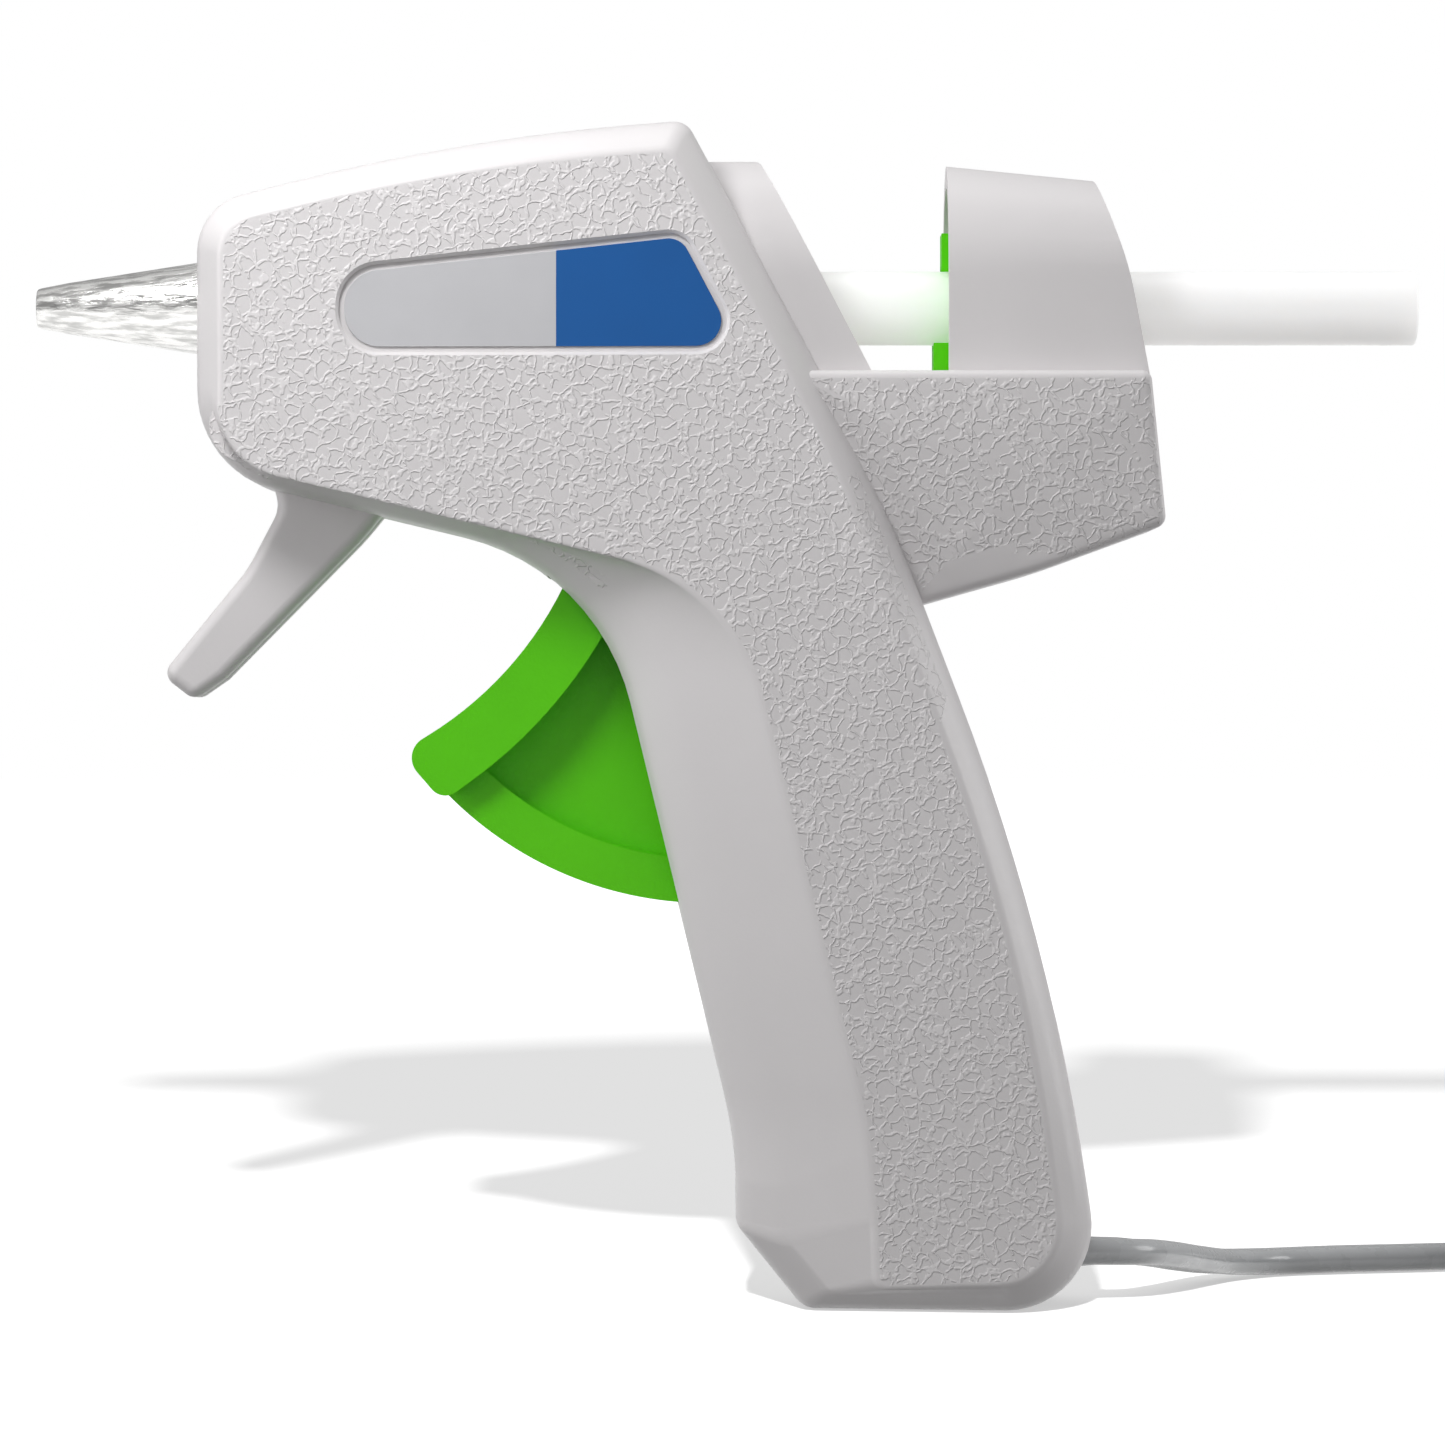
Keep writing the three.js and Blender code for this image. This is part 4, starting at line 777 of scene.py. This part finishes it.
def tube(path, section):
    """A section carried along a path: its across axis stays level, square to the path, and its up
    axis is square to both."""
    ahead = unit(np.gradient(path, axis=0))
    side = unit(np.stack([-ahead[:, 1], ahead[:, 0], 0 * ahead[:, 0]], -1))
    up = np.cross(ahead, side)
    rings = path[:, None] + section[None, :, :1] * side[:, None] + section[None, :, 1:] * up[:, None]
    return loft(rings)


class GLUEGUN_OT_cord(bpy.types.Operator):
    """Lay the flat mains lead from the handle to its coil and plug"""

    bl_idname = "glue_gun.cord"
    bl_label = "Mains lead, coil and plug"

    def execute(self, context):
        s = settings()
        grey = vinyl("clear_grey_vinyl", (0.5, 0.51, 0.52))
        path = cord_route()
        section = twin_section(s.cord_width / MM, s.cord_thickness / MM)
        lead = piece("mains_lead", tube(path, section), "housing", "cord_grey", grey,
                     replaces=("power_cord", "cord_coil", "cord_tail"), weighted=False)
        plug = piece("plug", plug_shape(), "housing", "cord_grey", grey, replaces=("plug_body",))
        return {"FINISHED"}


def plug_shape():
    """Plug body as rings along X: each is a superellipse whose half sizes follow the length,
    narrow at the cord, with grip ribs."""
    low, high = node_box("plug_body")
    middle, size = (low + high) / 2, (high - low) / 2
    t = np.linspace(0, 1, 61)[:, None]
    a = np.linspace(0, 2 * math.pi, 40, endpoint=False)
    ease = np.clip(t / 0.45, 0, 1)
    ease = ease * ease * (3 - 2 * ease)
    ribs = 0.35 * np.sin(t * 2 * math.pi * 9) * np.clip(1 - np.abs(t - 0.3) / 0.22, 0, 1)
    end = np.sqrt(np.clip(1 - np.clip((t - 0.95) / 0.05, 0, 1) ** 2, 0.25, 1))
    wide = (3.6 + (size[1] - 3.6) * ease + ribs) * (0.9 + 0.1 * end)
    tall = (2.6 + (size[2] - 2.6) * ease + ribs * 0.6) * (0.9 + 0.1 * end)
    cos, sin = np.cos(a), np.sin(a)
    y = middle[1] + wide * np.sign(cos) * np.abs(cos) ** 0.55
    z = middle[2] + tall * np.sign(sin) * np.abs(sin) ** 0.55
    x = low[0] + (high[0] - low[0]) * t + 0 * a
    return loft(np.stack([x, y, z], -1))


# ---- Shells ----
def per_corner(values, steps=12):
    """One value per corner, repeated for each point of its arc."""
    return np.repeat(values, steps + 1)


def body_skin():
    """Right half of the pistol body as rings from the parting plane to the flat side.

    The rings are the outline, the outline at the rim, the strip edge, the panel edge and a ring
    inside the panel, with the turns between them softened.
    """
    edge = settings().edge / MM
    outline, strip, panel = rounded(BODY), rounded(STRIP), rounded(PANEL)
    rings = [
        ring(outline, PARTING), ring(outline, per_corner(RIM_Y)), ring(strip, per_corner(STRIP_Y)),
        ring(panel, BODY_HALF), ring(shrunk(panel, 1), BODY_HALF),
    ]
    return loft(softened(rings, (edge * 1.7, edge * 0.9, edge * 0.5)))


def body_hollow():
    """Space inside the body, as rings from the parting plane outward."""
    inner = shrunk(rounded(BODY), WALL - 0.1)
    rings = [ring(inner, -1), ring(inner, 4.6), ring(shrunk(rounded(PANEL), 1), BODY_HALF - WALL)]
    return loft(rings)


def arch(half, crown, x_top, x0, x1, count=28):
    """Arched block along X: each ring runs up one side, over the arch (half cos a across, crown
    sin a above the spring line) and down the other. The crown falls along X as the top does."""
    a = np.linspace(0, math.pi, count)
    foot = FLOOR_Z - 3
    y = np.concatenate([half * np.cos(a), [-half, half]])
    rise = np.concatenate([np.sin(a), [0, 0]])
    base = np.concatenate([0 * a + ARCH_SPRING, [foot, foot]])
    x = np.linspace(x0, x1, 2)[:, None]
    z = base + rise * (crown - x_top * (x - x0))
    return loft(np.stack([x + 0 * y, y + 0 * x, z], -1))


def rear_top():
    """Arched upper rear block behind the notch."""
    block = worked(arch(REAR_TOP_HALF, 11.2, 0.1, 21.5, 45), ("INTERSECT", slab(rounded(REAR_TOP), -12, 12)))
    return bevelled(block, 0.35, 30)


def rear_low():
    """Lower rear block. Its side rolls inward toward its foot: half width = side half width less
    the roll times the square of the share of its height below the top, on rings nested to its middle."""
    outline = rounded(REAR_LOW)
    low, high = outline[:, 1].min(), outline[:, 1].max()

    def side(points):
        return REAR_LOW_HALF - REAR_ROLL * ((high - points[:, 1]) / (high - low)) ** 2

    middle = outline.mean(0)
    rim = [shrunk(outline, 0.8 * (1 - math.cos(a))) for a in np.linspace(math.pi / 2, 0, 5)][::-1]
    rings = [ring(outline, PARTING)]
    for a, points in zip(np.linspace(0, math.pi / 2, 5), rim):
        rings.append(ring(points, side(points) - 0.8 * (1 - math.sin(a))))
    for share in np.linspace(0.95, 0.02, 14):
        points = middle + (rim[-1] - middle) * share
        rings.append(ring(points, side(points)))
    return loft(rings)


def front_web():
    """The arched cowl in front of the notch: the web's outline under the same kind of arch."""
    block = worked(
        arch(REAR_TOP_HALF + 0.4, 11.65, 0.0, -12, 20), ("INTERSECT", slab(rounded(WEB), -12, 12)))
    return bevelled(block, 0.35, 30)


def rear_top_hollow():
    """Space inside the upper rear block."""
    side = np.array([(14, AXIS_Z + 20), (33.3, AXIS_Z + 20), (38.9, FLOOR_Z), (14, FLOOR_Z)])
    return worked(arch(REAR_TOP_HALF - 1.4, 9.8, 0.1, 14, 45), ("INTERSECT", slab(side, -12, 12)))


def trigger_slot():
    """Opening in the front wall where the trigger swings in."""
    p, r = PIVOT, TRIGGER_R
    reach = np.array([
        (-17.4, p[2] + 2), (4, p[2] + 2), (4, p[2] - r - 0.35), (-6, p[2] - r - 0.35),
        (-12, p[2] - r - 2), (-17.4, p[2] - 22),
    ])
    return worked(
        slab(rounded(BODY), -1, SLOT_HALF),
        ("DIFFERENCE", slab(shrunk(rounded(BODY), WALL + 1.5), -2, 20)),
        ("INTERSECT", slab(reach, -1, SLOT_HALF)))


def pocket():
    """Recess for the label, with a small slope at its mouth."""
    label = rounded(LABEL)
    deep = settings().pocket / MM
    return loft([
        ring(label, BODY_HALF - deep), ring(label, BODY_HALF - 0.25),
        ring(shrunk(label, -0.35), BODY_HALF + 0.05), ring(shrunk(label, -0.35), BODY_HALF + 1),
    ])


def half_shell(seats):
    """Right half: joined blocks less the hollows and holes. Seats are recesses for screw heads."""
    joins = [
        rear_low(),
        worked(rear_top(), ("INTERSECT", brick(0, 60, PARTING, 20, 0, 200))),
        worked(front_web(), ("INTERSECT", brick(-30, 60, PARTING, 20, 0, 200))),
        slab(rounded(LEG), PARTING, LEG_HALF, 1.2),
    ]
    link = LINK_PIN
    hollows = [
        body_hollow(), slab(shrunk(rounded(REAR_LOW), WALL), -1, REAR_LOW_HALF - WALL - REAR_ROLL),
        rear_top_hollow(), trigger_slot(),
        brick(PIVOT[0] + 6, PIVOT[0] + 18, -1, 7, link[2] - 4, FLOOR_Z - WALL),
        brick(22.8, 35, -1, 4.3, FLOOR_Z - WALL - 1, FLOOR_Z + 1),
    ]
    bosses = [slab(circle(x, z, 3.6), PARTING, end)
              for (x, z), end in zip(SCREW_PLACES, BOSS_ENDS)]
    holes = [slab(circle(x, z, 1.7), -1, BODY_HALF - 4) for x, z in SCREW_PLACES]
    stick_hole = STICK_R + 0.7
    openings = [
        turned([(NOSE_X - 3, 0), (NOSE_X - 3, 4.85), (NOSE_X + 4, 4.85), (NOSE_X + 4, 0)]),
        turned([(-3, 0), (-3, stick_hole), (60, stick_hole), (60, 0)]),
        slab(circle(PIVOT[0], PIVOT[2], 2.3), -1, 8), pocket(),
        brick(CORD_EXIT[0] - 5, CORD_EXIT[0] + 4, -1, 2.8, CORD_EXIT[1] - 1.6, CORD_EXIT[1] + 2.2),
    ]
    recesses = [slab(circle(x, z, 2.9), SCREW_SEAT_Y, BODY_HALF + 1)
                for x, z in SCREW_PLACES if seats]
    return worked(
        body_skin(), ("UNION", *joins), ("DIFFERENCE", *hollows), ("UNION", *bosses),
        ("DIFFERENCE", *holes, *openings, *recesses))


def grain_faces(made):
    """Faces on the flat sides take the second material: the body's side and the rear block's."""
    mesh = made.data
    count = len(mesh.polygons)
    centre, normal = np.empty(count * 3), np.empty(count * 3)
    mesh.polygons.foreach_get("center", centre)
    mesh.polygons.foreach_get("normal", normal)
    centre, normal = np.abs(centre.reshape(-1, 3)) / MM, np.abs(normal.reshape(-1, 3)[:, 1])
    on_body = (centre[:, 1] > BODY_HALF - 0.02) & (normal > 0.999)
    on_block = (centre[:, 0] > 12) & (centre[:, 1] > 8.95) & (normal > 0.6) & (centre[:, 2] > 60)
    on_block &= centre[:, 2] < FLOOR_Z - 0.7
    mesh.polygons.foreach_set("material_index", (on_body | on_block).astype(np.int32))


class GLUEGUN_OT_shells(bpy.types.Operator):
    """Build the two half shells with their grained sides"""

    bl_idname = "glue_gun.shells"
    bl_label = "Half shells"

    def execute(self, context):
        s = settings()
        smooth = moulded_plastic("white_moulding", tuple(s.shell_colour))
        grain = grained_plastic("white_leather_grain", tuple(s.shell_colour), s.grain)
        halves = (("right_half", half_shell(True), "right_shell"),
                  ("left_half", mirrored(half_shell(False)), "left_shell"))
        for name, surface, node in halves:
            made = piece(name, surface, "housing", "white_plastic", smooth, grain, replaces=(node,))
            grain_faces(made)
        return {"FINISHED"}


# ---- Labels ----
class GLUEGUN_OT_labels(bpy.types.Operator):
    """Put a two-colour label with no lettering in each recess"""

    bl_idname = "glue_gun.labels"
    bl_label = "Side labels"

    def execute(self, context):
        s = settings()
        grey = label_print("label_grey", tuple(s.label_ground), 0.38)
        blue = label_print("label_blue", tuple(s.label_colour), 0.32)
        base_y = BODY_HALF - s.pocket / MM
        sticker = slab(shrunk(rounded(LABEL), 0.55), base_y + 0.02, base_y + 0.22, 0.06, 2)
        fields = (("front", grey, -60, LABEL_SPLIT_X), ("rear", blue, LABEL_SPLIT_X, 20))
        for side, node in (("right", "right_label"), ("left", "left_label")):
            for field, material, x0, x1 in fields:
                half = worked(sticker, ("INTERSECT", brick(x0, x1, 0, 20, AXIS_Z - 20, AXIS_Z + 20)))
                half = half if side == "right" else mirrored(half)
                piece(f"{side}_label_{field}", half, "housing", "label_print", material, replaces=(node,))
        return {"FINISHED"}


# ---- Trigger ----
# The lip's front and back arcs, by their centres from the pivot, and half widths in Y.
LIP_FRONT, LIP_FRONT_R = (-51.1, 15.5), 42.9
LIP_BACK, LIP_BACK_R = (-57.3, 19.4), 54.1
LIP_HALF, LIP_EDGE = 5.6, 0.85
FLANGE_HALF, WEB_HALF = 3.7, 1.7


def polar(radius, degrees):
    """Point at a radius from the trigger's pivot, its angle from straight down toward the nozzle."""
    a = np.radians(degrees)
    return np.stack([PIVOT[0] - radius * np.sin(a), PIVOT[2] - radius * np.cos(a)], -1)


def sector(outer, inner, start, end, count=40):
    """Part of a ring about the pivot, or of a disc if inner is 0."""
    a = np.linspace(start, end, count)
    near = polar(inner, a[::-1]) if inner else polar(0, a[:1])
    return np.vstack([polar(outer, a), near])


def tangent_corner(centre, radius, low, high):
    """The corner whose two sides touch a circle at two points: the middle of the points, moved
    from the centre so that its distance d becomes radius squared over d."""
    middle = (low + high) / 2 - centre
    return centre + middle * radius ** 2 / (middle @ middle)


def finger_lip():
    """Lip between two circles, from its tip at the rim to its top, with rounded corners.

    Its outline runs counter-clockwise, so slab() widens it by LIP_EDGE toward its side faces.
    """
    ends = []
    for centre, radius in ((LIP_FRONT, LIP_FRONT_R), (LIP_BACK, LIP_BACK_R)):
        centre = PIVOT[[0, 2]] + centre
        arc = circle(*centre, radius, 4000)
        away = arc - PIVOT[[0, 2]]
        angle = np.degrees(np.arctan2(-away[:, 0], -away[:, 1]))
        arc = arc[(angle > 40) & (angle < 88) & (np.hypot(*away.T) < TRIGGER_R + 0.4)]
        low, high = arc[arc[:, 1].argmin()], arc[arc[:, 1].argmax()]
        ends.append((low, tangent_corner(centre, radius, low, high), high, radius * 0.84))
    (tip, front, top, front_r), (heel, back, shoulder, back_r) = ends
    outline = rounded(np.array([
        (*tip, 1.3), (*front, front_r), (*top, 1.0), (*shoulder, 1.6), (*back, back_r),
        (*heel, 0.9)]), 16)
    following = np.roll(outline, -1, 0)
    if (outline[:, 0] * following[:, 1] - outline[:, 1] * following[:, 0]).sum() < 0:
        outline = outline[::-1]
    return slab(outline, -LIP_HALF, LIP_HALF, LIP_EDGE, 6)


class GLUEGUN_OT_trigger(bpy.types.Operator):
    """Build the green trigger: finger lip, web and curved flange"""

    bl_idname = "glue_gun.trigger"
    bl_label = "Trigger"

    def execute(self, context):
        s = settings()
        green = green_plastic("green_moulding", tuple(s.trigger_colour))
        px, pz = PIVOT[0], PIVOT[2]
        cleared = slab(circle(px + LIP_FRONT[0], pz + LIP_FRONT[1], 43.9, 160), -20, 20)
        web = worked(
            slab(sector(TRIGGER_R - 0.5, 0, 78, -3), -WEB_HALF, WEB_HALF), ("DIFFERENCE", cleared))
        flange = worked(
            slab(sector(TRIGGER_R, TRIGGER_R - 3.4, 56, -3), -FLANGE_HALF, FLANGE_HALF, 0.45),
            ("DIFFERENCE", cleared))
        arm = rounded(np.array([
            (px - 3, pz, 0.3), (LINK_PIN[0] - 2.2, LINK_PIN[2] + 2.1, 2),
            (LINK_PIN[0] + 2.2, LINK_PIN[2] + 2.1, 2), (px + 3.4, pz, 0.3)]), 6)
        tail = rounded(np.array([
            (px, pz + 2.6, 0.3), (px + 13.5, pz + 2.2, 1.2), (px + 13.5, pz - 1, 1), (px, pz - 2.6, 0.3)]), 6)
        whole = worked(
            web,
            ("UNION", flange, finger_lip(), slab(arm, -WEB_HALF, WEB_HALF), slab(tail, -0.8, 0.8),
             slab(circle(px, pz, 4.2, 40), -FLANGE_HALF, FLANGE_HALF),
             slab(circle(px, pz, 2, 32), -7.6, 7.6)),
            ("DIFFERENCE", slab(circle(LINK_PIN[0], LINK_PIN[2], 1.05, 20), -3, 3),
             slab(circle(px + 11.9, pz + 0.5, 0.9, 16), -3, 3)))
        piece("finger_trigger", whole, "trigger", "green_plastic", green, replaces=("trigger",))
        return {"FINISHED"}


# ---- Nozzle and stick ----
class GLUEGUN_OT_nozzle(bpy.types.Operator):
    """Turn the nickel nozzle"""

    bl_idname = "glue_gun.nozzle"
    bl_label = "Nozzle"

    def execute(self, context):
        low, high = NOZZLE_BOX
        tip, rear = float(low[0]), float(high[0])
        shape = turned([
            (tip + 3, 0), (tip + 2.4, 0.85), (tip + 0.1, 0.9), (tip, 1.05), (tip, 1.75),
            (tip + 0.12, 1.9), (tip + 0.45, 2.0), (tip + 3, 2.5), (NOSE_X - 0.4, 4.5), (NOSE_X + 1.9, 4.55),
            (NOSE_X + 2, 3.0), (rear, 3.0), (rear, 0)], 96)
        nickel = metal("nickel_plate", (0.82, 0.815, 0.80, 1), 0.24, (260, 1900, 1900), 0.00022)
        piece("cone_nozzle", shape, "housing", "nickel", nickel, replaces=("nozzle",))
        return {"FINISHED"}


class GLUEGUN_OT_stick(bpy.types.Operator):
    """Turn the glue stick"""

    bl_idname = "glue_gun.stick"
    bl_label = "Glue stick"

    def execute(self, context):
        low, high = STICK_BOX
        x0, x1, r = float(low[0]), float(high[0]), STICK_R
        edge = 0.35
        middle = [(x, r) for x in np.linspace(x0 + edge, x1 - edge, 30)]
        profile = [(x0, 0), (x0, r - edge), (x0 + 0.1, r - 0.1), *middle,
                   (x1 - 0.1, r - 0.1), (x1, r - edge), (x1, 0)]
        piece("melt_stick", turned(profile, 80), "glue_stick", "glue", milky_glue_painted_glow("milky_glue_painted_glow"),
              replaces=("glue_stick",), sharp=50)
        return {"FINISHED"}


# ---- Finishes of the CAD parts that stay ----
class GLUEGUN_OT_fittings(bpy.types.Operator):
    """Give every CAD part that still shows its own finish"""

    bl_idname = "glue_gun.fittings"
    bl_label = "Inner parts"

    def execute(self, context):
        s = settings()
        finishes = {
            "white_plastic": moulded_plastic("clamp_moulding", tuple(s.shell_colour)),
            "green_plastic": green_plastic("feed_moulding", tuple(s.trigger_colour)),
            "steel": metal("zinc_steel", (0.45, 0.46, 0.48, 1), 0.32),
            "brass": metal("stamped_brass", (0.72, 0.52, 0.22, 1), 0.3),
            "nickel": metal("nickel_core", (0.66, 0.655, 0.64, 1), 0.2),
            "aluminium": metal(
                "cast_aluminium", (0.6, 0.61, 0.63, 1), 0.45, (900, 900, 900), 0.00006),
            "silicone": speckled("red_silicone", (0.5, 0.12, 0.07, 1), 0.55),
            "film": speckled("amber_film", (0.6, 0.3, 0.06, 1), 0.35),
            "heater_ceramic": speckled("heater_ceramic", (0.7, 0.66, 0.58, 1), 0.8, 0.08),
            "glue": milky_glue_painted_glow("spare_glue"),
            "lead_black": speckled("black_lead", (0.03, 0.03, 0.035, 1), 0.4),
            "lead_red": speckled("red_lead", (0.42, 0.05, 0.04, 1), 0.4),
            "cord_grey": vinyl("cord_vinyl", (0.5, 0.51, 0.52)),
            "tie_paper": speckled("paper_band", (0.85, 0.84, 0.81, 1), 0.85, 0.05, 2500),
            "label_print": label_print("label_stock", tuple(s.label_ground), 0.38),
        }
        for part in frame["record"]["subparts"]:
            made = frame["nodes"][part["node"]]
            made.data.materials.clear()
            made.data.materials.append(finishes[part["material_slot"]])
        return {"FINISHED"}


# ---- Add-on ----
OPERATORS = (
    GLUEGUN_OT_stage, GLUEGUN_OT_cord, GLUEGUN_OT_shells, GLUEGUN_OT_labels, GLUEGUN_OT_trigger,
    GLUEGUN_OT_nozzle, GLUEGUN_OT_stick, GLUEGUN_OT_fittings,
)


class GLUEGUN_PT_panel(bpy.types.Panel):
    """Buttons that build the glue gun, in order"""

    bl_idname = "GLUEGUN_PT_panel"
    bl_label = "Mini glue gun"
    bl_space_type = "VIEW_3D"
    bl_region_type = "UI"
    bl_category = "Glue gun"

    def draw(self, context):
        for operator in OPERATORS:
            self.layout.operator(operator.bl_idname)
        for name in GlueGunSettings.__annotations__:
            self.layout.prop(context.scene.glue_gun, name)


CLASSES = (GlueGunSettings, *OPERATORS, GLUEGUN_PT_panel)


def register():
    for cls in CLASSES:
        bpy.utils.register_class(cls)
    bpy.types.Scene.glue_gun = bpy.props.PointerProperty(type=GlueGunSettings)


def unregister():
    del bpy.types.Scene.glue_gun
    for cls in reversed(CLASSES):
        bpy.utils.unregister_class(cls)


def main():
    """Build every piece in order."""
    register()
    bpy.ops.glue_gun.stage()
    bpy.ops.glue_gun.cord()
    bpy.ops.glue_gun.shells()
    bpy.ops.glue_gun.labels()
    bpy.ops.glue_gun.trigger()
    bpy.ops.glue_gun.nozzle()
    bpy.ops.glue_gun.stick()
    bpy.ops.glue_gun.fittings()


if __name__ == "__main__":
    main()
